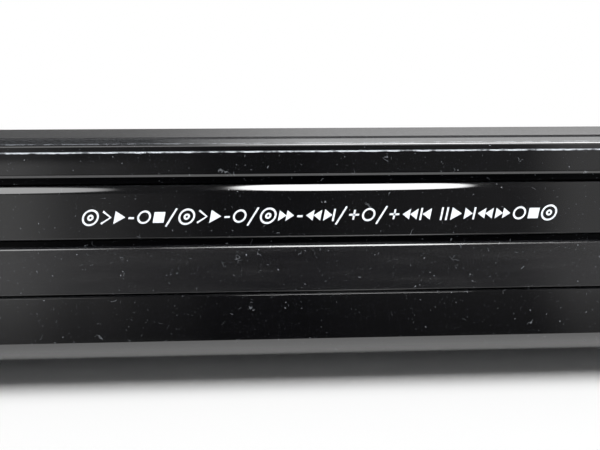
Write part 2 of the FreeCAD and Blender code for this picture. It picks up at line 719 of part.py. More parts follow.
row_start = half_width - s.key_last - (len(ROW_KEYS) - 1) * s.key_pitch
keys = {"power_button": s.power_end - half_width, "open_close_button": row_start - s.open_pitch}
keys.update({name: row_start + i * s.key_pitch for i, name in enumerate(ROW_KEYS)})
last_key = keys[ROW_KEYS[-1]]
front_ribs = (
    (keys["power_button"] + lamp_x) / 2,
    sensor_x / 2,
    zero,
    row_start - s.open_pitch / 2,
    last_key + s.key_width / 2 + s.key_flange + s.front_rib,
)
foot_rows = (face + s.foot_front, rear - s.foot_back)
feet = [(side * (half_width - s.foot_end), y) for side in SIDES for y in foot_rows]
ear_rows = (loader_y + s.ear_in, loader_back - s.ear_in)
ears = [(side * (wall_out + s.ear_reach / 2), y) for side in SIDES for y in ear_rows]
jack_start = half_width - s.jack_end - (s.jack_count - 1) * s.jack_pitch
jacks = [jack_start + i * s.jack_pitch for i in range(int(s.jack_count))]
jack_z = board_top + s.jack_block_rise / 2
inlet_z = board_top + s.inlet_rise / 2
jack_middle = (jacks[0] + jacks[-1]) / 2
jack_width = s.jack_count * s.jack_block
socket_front = panel_y - s.jack_block_depth


def board_fixings(side, front):
    """A board's inner corner at the front and its outer corner at the back."""
    return (
        (side * (board_in + s.board_edge), front + s.board_edge),
        (side * (board_out - s.board_edge), socket_front - s.board_edge),
    )


standoffs = [*board_fixings(1, main_front), *board_fixings(-1, power_front)]


# Front panel


def fascia_outline():
    """The banded front seen from the side, with its curved underside and its bevelled ledge."""
    return [
        (face, d_low),
        (face + s.belly_depth, s.foot_height, s.belly_radius),
        (rim_y, s.foot_height),
        (rim_y, ceiling),
        (ledge_y, ceiling),
        (ledge_y, ledge_z),
        (face + s.bevel, a_high + s.bevel),
        (face, a_high),
        (face, a_low + s.crease),
        (face + s.crease, a_low),
        (groove_y, a_low),
        (groove_y, b_high),
        (face + s.band_round, b_high),
        (face, b_high - s.band_round, s.band_round),
        (face, b_low + s.crease),
        (face + s.crease, b_low),
        (groove_y, b_low),
        (groove_y, c_high),
        (face + s.crease, c_high),
        (face, c_high - s.crease),
        (face, c_low + s.crease),
        (face + s.crease, c_low),
        (groove_y, c_low),
        (groove_y, d_high),
        (face + s.crease, d_high),
        (face, d_high - s.crease),
    ]


def fascia_plan():
    """The front panel from above: round ends, and a step that takes the cover's sides."""
    half = half_width
    curve = s.corner_round
    return [
        (-stub_half, rim_y),
        (-stub_half, ledge_y),
        (-half, ledge_y),
        (-half, face + curve),
        (curve - half, face, curve),
        (half - curve, face),
        (half, face + curve, curve),
        (half, ledge_y),
        (stub_half, ledge_y),
        (stub_half, rim_y),
    ]


def make_front_fascia():
    skin = common(bar((-half_width, half_width), fascia_outline()), plate((zero, top_z), fascia_plan()))
    past_rim = rim_y + s.fit_gap
    past_wall = wall_y + s.fit_gap
    through = (face - s.fit_gap, past_wall)
    inside = stub_half - s.rim_wall
    hollow = [
        (wall_y, d_low),
        (face + s.belly_depth, s.foot_height + s.rim_wall),
        (past_rim, s.foot_height + s.rim_wall),
        (past_rim, ceiling - s.rim_wall),
        (wall_y, ceiling - s.rim_wall),
    ]
    mouth = s.door_width + 2 * s.door_gap
    ledge = window_half + s.fit_gap
    behind = (groove_y, past_wall)
    view = s.display_width + 2 * s.view_margin
    lens = s.sensor_lens + 2 * s.run_gap
    lamp = (s.lamp_width + 2 * s.run_gap, s.lamp_height + 2 * s.run_gap)
    openings = [
        bar((-inside, inside), hollow),
        box(about(zero, mouth), through, (b_low - s.run_gap, b_high + s.run_gap)),
        box((-ledge, ledge), (through[0], groove_y), (d_high, b_low)),
        box(about(s.display_x, view), behind, about(window_z, s.display_height)),
        box(about(sensor_x, lens), behind, about(window_z, lens)),
        box(about(lamp_x, lamp[0]), behind, about(window_z, lamp[1])),
    ]
    wide = s.key_width + 2 * s.key_gap
    tall = s.key_height + 2 * s.key_gap
    openings += [box(about(x, wide), through, about(key_z, tall)) for x in keys.values()]
    rib_y = (wall_y, front_board_y)
    ribs = [box(about(x, s.front_rib), rib_y, about(key_z, s.key_height)) for x in front_ribs]
    keep("front_fascia", fused(cut(skin, *openings), *ribs))


def make_display_window():
    """The smoked strip along the window band."""
    outline = [
        (face, c_low + s.crease),
        (face + s.crease, c_low),
        (groove_y, c_low),
        (groove_y, c_high),
        (face + s.crease, c_high),
        (face, c_high - s.crease),
    ]
    keep("display_window", bar((-window_half, window_half), outline))


def make_keys():
    """Keys that stand a little out of the lowest band, each with a flange and a post to its switch."""
    front = face - s.key_proud
    flange_y = (wall_y + s.run_gap, wall_y + s.run_gap + s.flange_thick)
    post_y = (flange_y[1], front_board_y - s.switch_rise + s.post_depth)
    for name, x in keys.items():
        left, right = about(x, s.key_width)
        cap = [(left, front), (right, front, -s.key_dish), (right, flange_y[0]), (left, flange_y[0])]
        flange = (about(x, s.key_width + 2 * s.key_flange), about(key_z, s.key_height + 2 * s.key_flange))
        pieces = [
            plate(about(key_z, s.key_height), cap),
            box(flange[0], flange_y, flange[1]),
            box(about(x, s.key_post), post_y, about(key_z, s.key_post)),
        ]
        keep(name, fused(*pieces))


def make_key_switches():
    """A switch behind each key, with a well that leaves the key's post its travel."""
    front = front_board_y - s.switch_rise
    well = s.key_post + 2 * s.run_gap
    well_y = (front, front + s.post_depth + s.key_travel + s.run_gap)
    switches = []
    for x in keys.values():
        body = box(about(x, s.switch_side), (front, front_board_y), about(key_z, s.switch_side))
        switches.append(cut(body, box(about(x, well), well_y, about(key_z, well))))
    keep("key_switches", grouped(switches))


def make_front_board():
    """The upright board behind the front panel, with its display, remote sensor and standby lamp."""
    half = half_width - s.front_board_end
    keep("front_board", box((-half, half), (front_board_y, front_board_y + s.board), front_board_z))
    display_y = (wall_y + s.display_gap, front_board_y)
    display = box(about(s.display_x, s.display_width), display_y, about(window_z, s.display_height))
    keep("display_module", display)
    can_y = front_board_y - s.sensor_depth
    can = box(about(sensor_x, s.sensor_can), (can_y, front_board_y), about(window_z, s.sensor_can))
    lens = box(
        about(sensor_x, s.sensor_lens), (groove_y + s.lamp_gap, can_y), about(window_z, s.sensor_lens)
    )
    keep("remote_sensor", fused(can, lens))
    lamp_y = (groove_y + s.lamp_gap, front_board_y)
    keep("standby_lamp", box(about(lamp_x, s.lamp_width), lamp_y, about(window_z, s.lamp_height)))


# Cover, base and rear panel


def make_top_cover():
    """One folded sheet over the top and both sides, with a lip at the back and vents in the top."""
    low = s.foot_height + s.cover_low
    bend = top_z - s.cover_bend
    inner = cover_half - s.sheet
    fold = s.cover_bend - s.sheet
    outline = [
        (cover_half, low),
        (cover_half, bend),
        (stub_half, top_z, s.cover_bend),
        (-stub_half, top_z),
        (-cover_half, bend, s.cover_bend),
        (-cover_half, low),
        (-inner, low),
        (-inner, bend),
        (-stub_half, ceiling, -fold),
        (stub_half, ceiling),
        (inner, bend, -fold),
        (inner, low),
    ]
    shell = slab((ledge_y + s.fit_gap, lip_y), outline)
    lip = box((-stub_half, stub_half), (rear, lip_y), (lip_z, ceiling))
    count = int(s.slot_count)
    slots = []
    for side in SIDES:
        first = side * (half_width - s.vent_end) - (count - 1) * s.slot_pitch / 2
        for i in range(count):
            x = about(first + i * s.slot_pitch, s.slot_width)
            slots.append(box(x, about(s.vent_y, s.slot_length), (ceiling, top_z)))
    keep("top_cover", cut(fused(shell, lip), grouped(slots)))


def make_bottom_chassis():
    """The base: a folded sheet with flanges at its sides and front, standoffs, and pads for the loader."""
    inner = base_half - s.sheet
    side_top = s.foot_height + s.side_flange
    tray = [
        (-base_half, s.foot_height),
        (base_half, s.foot_height),
        (base_half, side_top),
        (inner, side_top),
        (inner, floor_z),
        (-inner, floor_z),
        (-inner, side_top),
        (-base_half, side_top),
    ]
    flange = inner - s.fit_gap
    front_top = s.foot_height + s.front_flange
    pieces = [
        slab((rim_y, rear), tray),
        box((-flange, flange), (rim_y, rim_y + s.sheet), (floor_z, front_top)),
    ]
    pieces += [upright(x, y, (floor_z, board_z), s.standoff_radius, HEXAGON) for x, y in standoffs]
    pieces += [box(about(x, s.ear_reach), about(y, s.ear_length), (floor_z, loader_z)) for x, y in ears]
    keep("bottom_chassis", fused(*pieces))


def make_rear_panel():
    """An upright plate with a foot on the base, and openings for the sockets."""
    half = base_half - s.sheet - s.fit_gap
    outline = [
        (panel_y - s.panel_foot, floor_z),
        (rear, floor_z),
        (rear, ceiling),
        (panel_y, ceiling),
        (panel_y, floor_z + s.sheet),
        (panel_y - s.panel_foot, floor_z + s.sheet),
    ]
    y = (panel_y, rear)
    gap = 2 * s.fit_gap
    openings = [
        box(about(jack_middle, jack_width + gap), y, about(jack_z, s.jack_block_rise + gap)),
        box(about(inlet_x, s.inlet_width + gap), y, about(inlet_z, s.inlet_rise + gap)),
    ]
    keep("rear_panel", cut(bar((-half, half), outline), *openings))


def make_feet():
    keep("feet", grouped([upright(x, y, (zero, s.foot_height), s.foot_radius) for x, y in feet]))


def make_screws():
    """The cover's screw heads, two at the back and one at each side, and the heads on the boards and ears."""
    lip_middle = (lip_z + top_z) / 2
    beside = (cover_half, cover_half + s.head_height)
    behind = (lip_y, lip_y + s.head_height)
    at_rear = half_width - s.rear_screw_end
    few = s.small_sides
    heads = []
    for side in SIDES:
        heads.append(lengthwise(side * at_rear, behind, lip_middle, s.screw_head, few))
        heads.append(crosswise(mirrored(side, *beside), s.side_screw_y, side_screw_z, s.screw_head, few))
    keep("cover_screws", grouped(heads))
    on_ears = (loader_z + s.ear_thick, loader_z + s.ear_thick + s.head_height)
    for name, places, z in (
        ("board_screws", standoffs, on_board(s.head_height)),
        ("loader_screws", ears, on_ears),
    ):
        keep(name, grouped([upright(x, y, z, s.hex_head, HEXAGON) for x, y in places]))


# Rear sockets


def make_jacks():
    """A row of phono sockets: one block with its inserts, and a metal shell round each."""
    tip = rear + s.jack_proud
    core_end = tip - s.jack_recess
    block_z = about(jack_z, s.jack_block_rise)
    bore_y = (core_end - s.jack_bore_depth, core_end)
    few = s.small_sides
    inside = s.jack_radius - s.jack_wall
    cores = [lengthwise(x, (rear, core_end), jack_z, s.jack_core, few) for x in jacks]
    bores = [lengthwise(x, bore_y, jack_z, s.jack_bore, few) for x in jacks]
    block = fused(box(about(jack_middle, jack_width), (socket_front, rear), block_z), *cores)
    keep("av_jack_block", cut(block, grouped(bores)))
    shells = []
    for x in jacks:
        shell = lengthwise(x, (rear, tip), jack_z, s.jack_radius)
        shells.append(cut(shell, lengthwise(x, (rear, tip), jack_z, inside, few)))
    keep("av_jack_shells", grouped(shells))


def make_mains_inlet():
    """A moulded inlet with a figure-of-eight well and two pins."""
    mouth = rear + s.inlet_proud
    well = (mouth - s.inlet_well, mouth)
    body_y = (mouth - s.inlet_depth, mouth)
    body = box(about(inlet_x, s.inlet_width), body_y, about(inlet_z, s.inlet_rise))
    places = [inlet_x + side * s.inlet_half for side in SIDES]
    few = s.small_sides
    lobes = [lengthwise(x, well, inlet_z, s.inlet_lobe, few) for x in places]
    pin_y = (well[0], mouth - s.pin_short)
    pins = [lengthwise(x, pin_y, inlet_z, s.inlet_pin, few) for x in places]
    keep("mains_inlet", fused(cut(body, *lobes), *pins))


# Main board and power board


def on_board(rise):
    return (board_top, board_top + rise)


def make_main_board():
    board_z_span = (board_z, board_top)
    keep("main_board", box((board_in, board_out), (main_front, board_back), board_z_span))
    chips_y = main_front + s.chip_y
    square = (about(board_in + s.decoder_in, s.decoder_side), about(chips_y, s.decoder_side))
    keep("decoder_chip", box(*square, on_board(s.chip_rise)))
    first = board_out - s.chip_in - (s.chip_count - 1) * s.chip_pitch
    chips = []
    for i in range(int(s.chip_count)):
        x = about(first + i * s.chip_pitch, s.chip_width)
        chips.append(box(x, about(chips_y, s.chip_length), on_board(s.chip_rise)))
    keep("board_chips", grouped(chips))
    cans = []
    for i in range(int(s.can_count)):
        x = board_in + s.can_in + i * s.can_pitch
        place = (x, main_front + s.can_y, on_board(s.can_rise))
        cans.append(upright(*place, s.can_radius, s.small_sides))
    keep("board_capacitors", grouped(cans))


def make_flat_cable():
    """The flat cable from the front board down to the main board, and the plug at each end."""
    x = about(board_in + s.cable_in, s.cable_width)
    behind = front_board_y + s.board
    high = front_board_z[0] + s.plug_level
    low = board_top + s.plug_rise / 2
    start = behind + s.plug_depth
    bend = start + s.cable_run
    end = main_front + s.plug_edge
    half = s.cable_thick / 2
    path = ((start, high), (bend, high), (bend + s.cable_run, low), (end, low))
    outline = [(y, z - half) for y, z in path] + [(y, z + half) for y, z in reversed(path)]
    keep("flat_cable", bar(x, outline))
    plugs = [
        box(x, (behind, start), about(high, s.plug_rise)),
        box(x, (end, end + s.plug_depth), on_board(s.plug_rise)),
    ]
    keep("cable_plugs", grouped(plugs))


def make_power_board():
    keep("power_board", box((-board_out, -board_in), (power_front, board_back), (board_z, board_top)))
    few = s.small_sides
    smooth_x = s.smooth_in - board_out
    output_x = -(board_in + s.output_in)
    capacitors = [upright(smooth_x, s.smooth_y, on_board(s.smooth_rise), s.smooth_radius, few)]
    for i in range(int(s.output_count)):
        place = (output_x, s.output_y + i * s.output_pitch, on_board(s.output_rise))
        capacitors.append(upright(*place, s.output_radius, few))
    keep("power_capacitors", grouped(capacitors))


def make_transformer():
    """A ferrite core, and a bobbin round its middle leg."""
    core_x = -(board_in + s.core_in)
    core_z = on_board(s.core_rise)
    core = box(about(core_x, s.core_width), about(s.core_y, s.core_depth), core_z)
    inner = s.core_width - 2 * s.core_leg
    bobbin_z = (board_top + s.core_leg, core_z[1] - s.core_leg)
    bobbin = box(about(core_x, inner), about(s.core_y, s.bobbin_depth), bobbin_z)
    keep("switching_transformer", fused(core, bobbin))


def make_heat_sink():
    """A comb of fins on one upright plate."""
    back = s.sink_y + s.fin_depth
    count = int(s.fin_count)
    first = s.sink_in - board_out - (count - 1) * s.fin_pitch / 2
    fins = [about(first + i * s.fin_pitch, s.fin_thick) for i in range(count)]
    comb = [(fins[-1][1], back + s.fin_thick), (fins[0][0], back + s.fin_thick)]
    for i, (left, right) in enumerate(fins):
        if i:
            comb.append((left, back))
        comb += [(left, s.sink_y), (right, s.sink_y)]
        if i < count - 1:
            comb.append((right, back))
    keep("heat_sink", plate(on_board(s.sink_rise), comb))


def make_fuse():
    """The mains fuse, held between two clips."""
    axis = board_top + s.fuse_rise
    x = about(inlet_x, s.fuse_length)
    keep("mains_fuse", crosswise(x, s.fuse_y, axis, s.fuse_radius, s.small_sides))
    clip = (about(s.fuse_y, s.clip_side), on_board(s.clip_side))
    places = (beyond(x[0], -1, s.clip_width), beyond(x[1], 1, s.clip_width))
    keep("fuse_clips", grouped([box(place, *clip) for place in places]))


# Disc tray


def make_tray_front():
    """The tray's own stretch of the tray band, with the same edges as the fascia beside it."""
    outline = [
        (face, b_low + s.crease),
        (face + s.crease, b_low),
        (tray_front, b_low),
        (tray_front, b_high),
        (face + s.band_round, b_high),
        (face, b_high - s.band_round, s.band_round),
    ]
    keep("tray_front", bar(about(zero, s.door_width), outline))


def rack_outline():
    """A rack along the left of the tray: straight-sided teeth that face right, one of them at the pinion."""
    line = float(gear_x - pinion_radius)
    step = math.pi * float(s.tooth)
    tip = line + float(s.tooth * s.addendum)
    foot = line - float(s.tooth * s.dedendum)
    slope = math.tan(math.radians(float(s.flank_angle)))
    half = (step / 2 - float(s.backlash)) / 2
    at_tip = half - (tip - line) * slope
    at_foot = half + (line - foot) * slope
    middle = float(gear_y)
    low = middle - float(s.rack_spare)
    high = middle + float(s.tray_travel + s.rack_spare)
    spine = foot - float(s.rack_wall)
    points = [(spine, high), (spine, low), (foot, low)]
    first = math.ceil((low - middle) / step + 0.5)
    last = math.floor((high - middle) / step - 0.5)
    for i in range(first, last + 1):
        y = middle + i * step
        points += [(foot, y - at_foot), (tip, y - at_tip), (tip, y + at_tip), (foot, y + at_foot)]
    return [*points, (foot, high)]


def flat_face(points):
    return Part.Face(Part.makePolygon([Vector(x, y, 0) for x, y in [*points, points[0]]]))


def drawn_up(flat, z):
    """A piece from a face worked out in numbers, between two heights."""
    piece = doc.addObject("Part::Feature", "drawn")
    piece.Shape = flat.extrude(Vector(0, 0, float(z[1] - z[0])))
    bind(piece, Placement_Base_z=z[0])
    return piece


def make_disc_tray():
    """The tray: recesses for both sizes of disc, a slot for the spindle and the pickup, and a rack below."""
    half = s.tray_width / 2
    blank = box((-half, half), (tray_front, tray_back), (tray_z, tray_top))
    under = half - s.skirt
    past = tray_back + s.fit_gap
    recess_z = tray_top - s.recess_depth
    deck_side = half - s.skirt - s.tail_rim
    deck_y = (disc_y + s.recess_radius + s.tail_rim, tray_back - s.tail_rim)
    openings = [
        box((-under, under), (tray_front, past), (tray_z, tray_floor)),
        upright(zero, disc_y, (recess_z, tray_top), s.recess_radius),
        upright(zero, disc_y, (recess_z - s.small_depth, tray_top), s.small_radius),
        box((-s.slot_half, s.slot_half), (disc_y - s.slot_ahead, past), (tray_floor, tray_top)),
        box((-deck_side, deck_side), deck_y, (tray_top - s.tail_depth, tray_top)),
    ]
    rack = drawn_up(flat_face(rack_outline()), (tray_z, tray_floor))
    keep("disc_tray", fused(cut(blank, *openings), rack))


# Loading gears, seen from above


def gear(teeth, space_at, x, y, z):
    """A gear with a space between two teeth at this angle: its flanks run straight from root to tip."""
    count = int(teeth)
    pitch = float(s.tooth) * count / 2
    pressure = math.radians(float(s.flank_angle))
    base = pitch * math.cos(pressure)
    half = (math.pi * float(s.tooth) / 2 - float(s.backlash)) / (2 * pitch)
    radii = (pitch - float(s.tooth * s.dedendum), pitch + float(s.tooth * s.addendum))

    def flank(radius):
        """Half the angle of a tooth at this radius, from the involute."""
        angle = math.acos(min(base / radius, 1))
        return half + math.tan(pressure) - pressure - math.tan(angle) + angle

    points = []
    for i in range(count):
        middle = math.radians(space_at) + 2 * math.pi * (i + 0.5) / count
        for sense, order in ((-1, radii), (1, radii[::-1])):
            for radius in order:
                angle = middle + sense * flank(radius)
                points.append((radius * math.cos(angle), radius * math.sin(angle)))
    piece = drawn_up(flat_face(points), z)
    bind(piece, Placement_Base_x=x, Placement_Base_y=y)
    return piece


def make_drive_gear():
    """The wheel that the pulley gear turns, and the pinion that drives the rack."""
    wheel = gear(s.wheel_teeth, 0, gear_x, gear_y, (wheel_z, pinion_z))
    pinion = gear(s.pinion_teeth, 180, gear_x, gear_y, (pinion_z, gear_top))
    bore = upright(gear_x, gear_y, (wheel_z, gear_top), s.post_radius + s.bore_gap)
    keep("drive_gear", cut(fused(wheel, pinion), bore))


def pulley(x, y, radius):
    """A pulley between two flanges: the belt runs in the groove."""
    groove = (groove_z, groove_z + s.groove_width)
    bottom = upright(x, y, groove, radius - s.pulley_groove, s.small_sides)
    flanges = [upright(x, y, z, radius) for z in ((pulley_z, groove_z), (groove[1], pulley_top))]
    return fused(bottom, *flanges)


def make_pulley_gear():
    """A small gear with a pulley on top, between the belt and the drive gear."""
    tooth_at = 180 + 180 / float(s.pulley_teeth)
    teeth = gear(s.pulley_teeth, tooth_at, pulley_x, gear_y, (wheel_z, pulley_z))
    bore = upright(pulley_x, gear_y, (wheel_z, pulley_top), s.post_radius + s.bore_gap)
    keep("pulley_gear", cut(fused(pulley(pulley_x, gear_y, s.pulley_radius), teeth), bore))


def make_loading_motor():
    """The loading motor under the gear plate: a round can with two flats."""
    z = (motor_top - s.motor_rise, motor_top)
    flats = box(about(s.motor_x, 2 * s.motor_radius), about(motor_y, s.motor_flat), z)
    keep("loading_motor", common(upright(s.motor_x, motor_y, z, s.motor_radius), flats))


def make_motor_pulley():
    """The motor's shaft with the small pulley on it."""
    shaft = upright(s.motor_x, motor_y, (motor_top + s.fit_gap, pulley_z), s.motor_shaft, s.small_sides)
    keep("motor_pulley", fused(shaft, pulley(s.motor_x, motor_y, s.motor_pulley)))


def belt_loop(offset):
    """The belt's path round both pulleys, this far out from the bottoms of their grooves."""
    start = Vector(float(pulley_x), float(gear_y), 0)
    end = Vector(float(s.motor_x), float(motor_y), 0)
    big, small = (float(outer - s.pulley_groove + offset) for outer in (s.pulley_radius, s.motor_pulley))
    reach = end - start
    heading = math.atan2(reach.y, reach.x)
    lean = math.acos((big - small) / reach.Length)
    steps = int(s.belt_steps)
    points = []
    for centre, radius, first, sweep in (
        (start, big, heading + lean, 2 * (math.pi - lean)),
        (end, small, heading - lean, 2 * lean),
    ):
        for i in range(steps + 1):
            angle = first + sweep * i / steps
            points.append((centre.x + radius * math.cos(angle), centre.y + radius * math.sin(angle)))
    return flat_face(points)


def make_loading_belt():
    ring = belt_loop(s.belt_gap + s.belt_side).cut(belt_loop(s.belt_gap))
    z = about(groove_z + s.groove_width / 2, s.belt_side)
    keep("loading_belt", drawn_up(ring, z))


# Loader frame


def make_loader_chassis():
    """The moulded frame that holds the tray's runners, the gear plate and the traverse's brackets."""
    inside = loader_back - s.wall
    walls = [
        (-wall_out, loader_y),
        (-wall_in, loader_y),
        (-wall_in, inside),
        (wall_in, inside),
        (wall_in, loader_y),
        (wall_out, loader_y),
        (wall_out, loader_back),
        (-wall_out, loader_back),
    ]
    sill_back = loader_y + s.sill_depth
    opening = s.frame_half + s.frame_gap
    across = (-wall_out, wall_out)
    hole = rectangle((-opening, opening), (sill_back, frame_back + s.tail_gap))
    plate_span = (plate_z - s.plate_thick, plate_z)
    pieces = [
        plate((loader_z, loader_top), walls),
        plate((loader_z, sill_z), rectangle(across, (loader_y, loader_back)), hole),
        box(across, (loader_y, loader_y + s.plate_depth), plate_span),
        upright(gear_x, gear_y, (plate_z, gear_top), s.post_radius, s.small_sides),
        upright(pulley_x, gear_y, (plate_z, pulley_top), s.post_radius, s.small_sides),
    ]
    for side in SIDES:
        pieces += loader_side(side)
    shaft_hole = upright(s.motor_x, motor_y, plate_span, s.motor_shaft + s.run_gap)
    keep("loader_chassis", cut(fused(*pieces), shaft_hole))


def loader_side(side):
    """The runner, tabs, ears, hook and pivot bracket on one side of the loader."""
    runner_z = tray_z - s.fit_gap
    runner_x = mirrored(side, s.tray_width / 2 - s.runner_lap, wall_in)
    tab_x = mirrored(side, wall_in - s.tab_reach, wall_in)
    tab_z = (loader_top - s.tab_thick, loader_top)
    pieces = [box(runner_x, (loader_y, loader_back - s.wall), (runner_z - s.runner_thick, runner_z))]
    for y in (loader_y, loader_y + s.tab_back):
        pieces.append(box(tab_x, (y, y + s.tab_length), tab_z))
    for y in ear_rows:
        ear_x = mirrored(side, wall_out, wall_out + s.ear_reach)
        pieces.append(box(ear_x, about(y, s.ear_length), (loader_z, loader_z + s.ear_thick)))
    hook_y = (slider_back + s.fit_gap, slider_back + s.fit_gap + s.hook_thick)
    pieces.append(box(about(side * s.hook_x, s.hook_width), hook_y, (sill_z, sill_z + s.hook_rise)))
    near = s.frame_half + s.frame_gap
    notch = s.pivot_radius + s.bore_gap
    top = pivot_z + s.bracket_rise
    outline = [
        (pivot_y - s.bracket_half, loader_z),
        (pivot_y + s.bracket_half, loader_z),
        (pivot_y + s.bracket_half, top),
        (pivot_y + notch, top),
        (pivot_y + notch, pivot_z - notch),
        (pivot_y - notch, pivot_z - notch),
        (pivot_y - notch, top),
        (pivot_y - s.bracket_half, top),
    ]
    pieces.append(bar(mirrored(side, near, near + s.bracket_thick), outline))
    return pieces


def make_cam_slider():
    """A plate that slides across the loader: its slanted slots lower the traverse's front pins."""
    high = (s.pin_x, pivot_z)
    low = (s.pin_x - s.slider_travel, pivot_z - slider_drop)
    run = root(s.slider_travel * s.slider_travel + slider_drop * slider_drop)
    half = s.pin_radius + s.slot_play
    aside = (half * slider_drop / run, -(half * s.slider_travel / run))
    y = (slider_front, slider_back)
    slots = []
    for shift in (zero, 2 * s.pin_x):
        start, end = low[0] - shift, high[0] - shift
        between = [
            (start + aside[0], low[1] + aside[1]),
            (end + aside[0], high[1] + aside[1]),
            (end - aside[0], high[1] - aside[1]),
            (start - aside[0], low[1] - aside[1]),
        ]
        slots.append(slab(y, between))
        for x, z in ((start, low[1]), (end, high[1])):
            slots.append(lengthwise(x, y, z, half, s.small_sides))
    x = (low[0] - 2 * s.pin_x - s.slider_end, s.pin_x + s.slider_end)
    keep("cam_slider", cut(box(x, y, (slider_z, slider_z + s.slider_rise)), *slots))


# Traverse


def make_traverse_frame():
    """A ring with pivot pins at the back and pins for the cam slider at the front."""
    half = s.frame_half
    bar_in = half - s.frame_bar
    inside = rectangle((-bar_in, bar_in), (frame_front + s.frame_bar, frame_back - s.frame_bar))
    pieces = [plate((frame_z, frame_top), rectangle((-half, half), (frame_front, frame_back)), inside)]
    pin_y = (frame_front - s.pin_reach, frame_front)
    for side in SIDES:
        reach = mirrored(side, half, half + s.pivot_reach)
        pieces.append(crosswise(reach, pivot_y, pivot_z, s.pivot_radius))
        pieces.append(lengthwise(side * s.pin_x, pin_y, pivot_z, s.pin_radius))
    keep("traverse_frame", fused(*pieces))


def make_rubber_dampers():
    """A rubber block on each corner of the frame, under the deck plate."""
    x = s.frame_half - s.frame_bar / 2
    side = s.damper_side
    blocks = []
    for y in (frame_front + s.damper_in, frame_back - s.damper_in):
        blocks += [box(about(sense * x, side), about(y, side), (frame_top, deck_z)) for sense in SIDES]
    keep("rubber_dampers", grouped(blocks))


def make_deck_plate():
    """The plate that carries the spindle motor, and below it the rods, screw and motor of the pickup."""
    half = s.frame_half - s.deck_inset
    y = (disc_y - s.deck_front, frame_back - s.deck_inset)
    hole_y = (lens_y - s.hole_ahead, rod_back - s.bearer)
    hole = rectangle((-s.deck_hole, s.deck_hole), hole_y)
    pieces = [plate((deck_z, deck_top), rectangle((-half, half), y), hole)]
    reach = s.rod_radius + s.bearer_wall
    front = (rod_front, rod_front + s.bearer)
    back = (rod_back - s.bearer, rod_back)
    for side in SIDES:
        for row in (front, back):
            pieces.append(box(about(side * s.rod_x, 2 * reach), row, (rod_z - reach, deck_z)))
    screw_reach = s.thread_radius + s.bearer_wall
    pieces.append(box(about(s.thread_x, 2 * screw_reach), front, (thread_z - screw_reach, deck_z)))
    saddle_z = (thread_z + s.sled_can, deck_z)
    pieces.append(box(about(s.thread_x, 2 * s.saddle_half), sled_can_y, saddle_z))
    shaft_hole = upright(zero, disc_y, (deck_z, deck_top), s.spindle_hole)
    keep("deck_plate", cut(fused(*pieces), shaft_hole))


def make_spindle_motor():
    z = (deck_z - s.spindle_rise, deck_z)
    keep("spindle_motor", upright(zero, disc_y, z, s.spindle_can, s.small_sides))


def make_turntable():
    """The spindle's shaft with the disc seat and the hub that centres a disc."""
    outline = [
        (zero, seat_z - s.seat_thick),
        (s.seat_radius, seat_z - s.seat_thick),
        (s.seat_radius, seat_z),
        (s.hub_radius, seat_z),
        (s.hub_radius, seat_z + s.hub_rise),
        (zero, seat_z + s.hub_rise),
    ]
    shaft_z = (deck_z + s.fit_gap, seat_z - s.seat_thick)
    shaft = upright(zero, disc_y, shaft_z, s.spindle_radius, s.small_sides)
    keep("turntable", fused(turned(zero, disc_y, outline), shaft))


def make_pickup_drive():
    """The pickup's two rods between their blocks, its lead screw, and the motor behind the screw."""
    between = (rod_front + s.bearer, rod_back - s.bearer)
    rods = [lengthwise(side * s.rod_x, between, rod_z, s.rod_radius) for side in SIDES]
    keep("guide_rods", grouped(rods))
    keep("lead_screw", lengthwise(s.thread_x, (thread_front, thread_back), thread_z, s.thread_radius))
    keep("sled_motor", lengthwise(s.thread_x, sled_can_y, thread_z, s.sled_can, s.small_sides))


def make_pickup_sled():
    """The pickup: a body with a bored ear on one rod and a fork on the other, and a head below the disc."""
    lug = about(lens_y, s.tower_depth)
    front = lens_y - s.sled_ahead
    back = lens_y + s.sled_behind
    neck = s.neck_half
    half = s.sled_half
    outline = [
        (-neck, front),
        (neck, front),
        (neck, lug[0]),
        (half, lug[0]),
        (half, lug[1]),
        (neck, lug[1]),
        (neck, back),
        (-neck, back),
        (-neck, lug[1]),
        (-half, lug[1]),
        (-half, lug[0]),
        (-neck, lug[0]),
    ]
    top = deck_z - s.sled_drop
    gap = s.rod_radius + s.bore_gap
    head = box((-s.tower_half, s.tower_half), lug, (top, head_z))
    arm_z = (thread_z + s.thread_radius + s.run_gap, top)
    arm = box((half, s.thread_x + s.nut_half), about(lens_y, 2 * s.nut_half), arm_z)
    bore = lengthwise(-s.rod_x, lug, rod_z, gap)
    fork = box((s.rod_x - gap, half), lug, about(rod_z, 2 * gap))
    keep("pickup_sled", fused(cut(plate((sled_z, top), outline), bore, fork), head, arm))


def make_objective_lens():
    """The lens in its frame, which floats above the pickup's head."""
    low = head_z + s.focus_gap
    frame_z = (low, low + s.lens_frame_rise)
    frame = box(about(zero, s.lens_frame), about(lens_y, s.lens_frame), frame_z)
    lens_z = (frame_z[1], frame_z[1] + s.lens_rise)
    lens = upright(zero, lens_y, lens_z, s.lens_radius, s.small_sides)
    keep("objective_lens", fused(frame, lens))


# Clamp


def make_clamp_bridge():
    """A strip across the loader with a hole that holds the clamp puck."""
    outline = [
        (-wall_out, loader_top),
        (-wall_in, loader_top),
        (-wall_in, bridge_z),
        (wall_in, bridge_z),
        (wall_in, loader_top),
        (wall_out, loader_top),
        (wall_out, bridge_top),
        (-wall_out, bridge_top),
    ]
    y = (disc_y - s.bridge_half, disc_y + s.bridge_half)
    hole = upright(zero, disc_y, (bridge_z, bridge_top), s.puck_hole)
    keep("clamp_bridge", cut(slab(y, outline), hole))


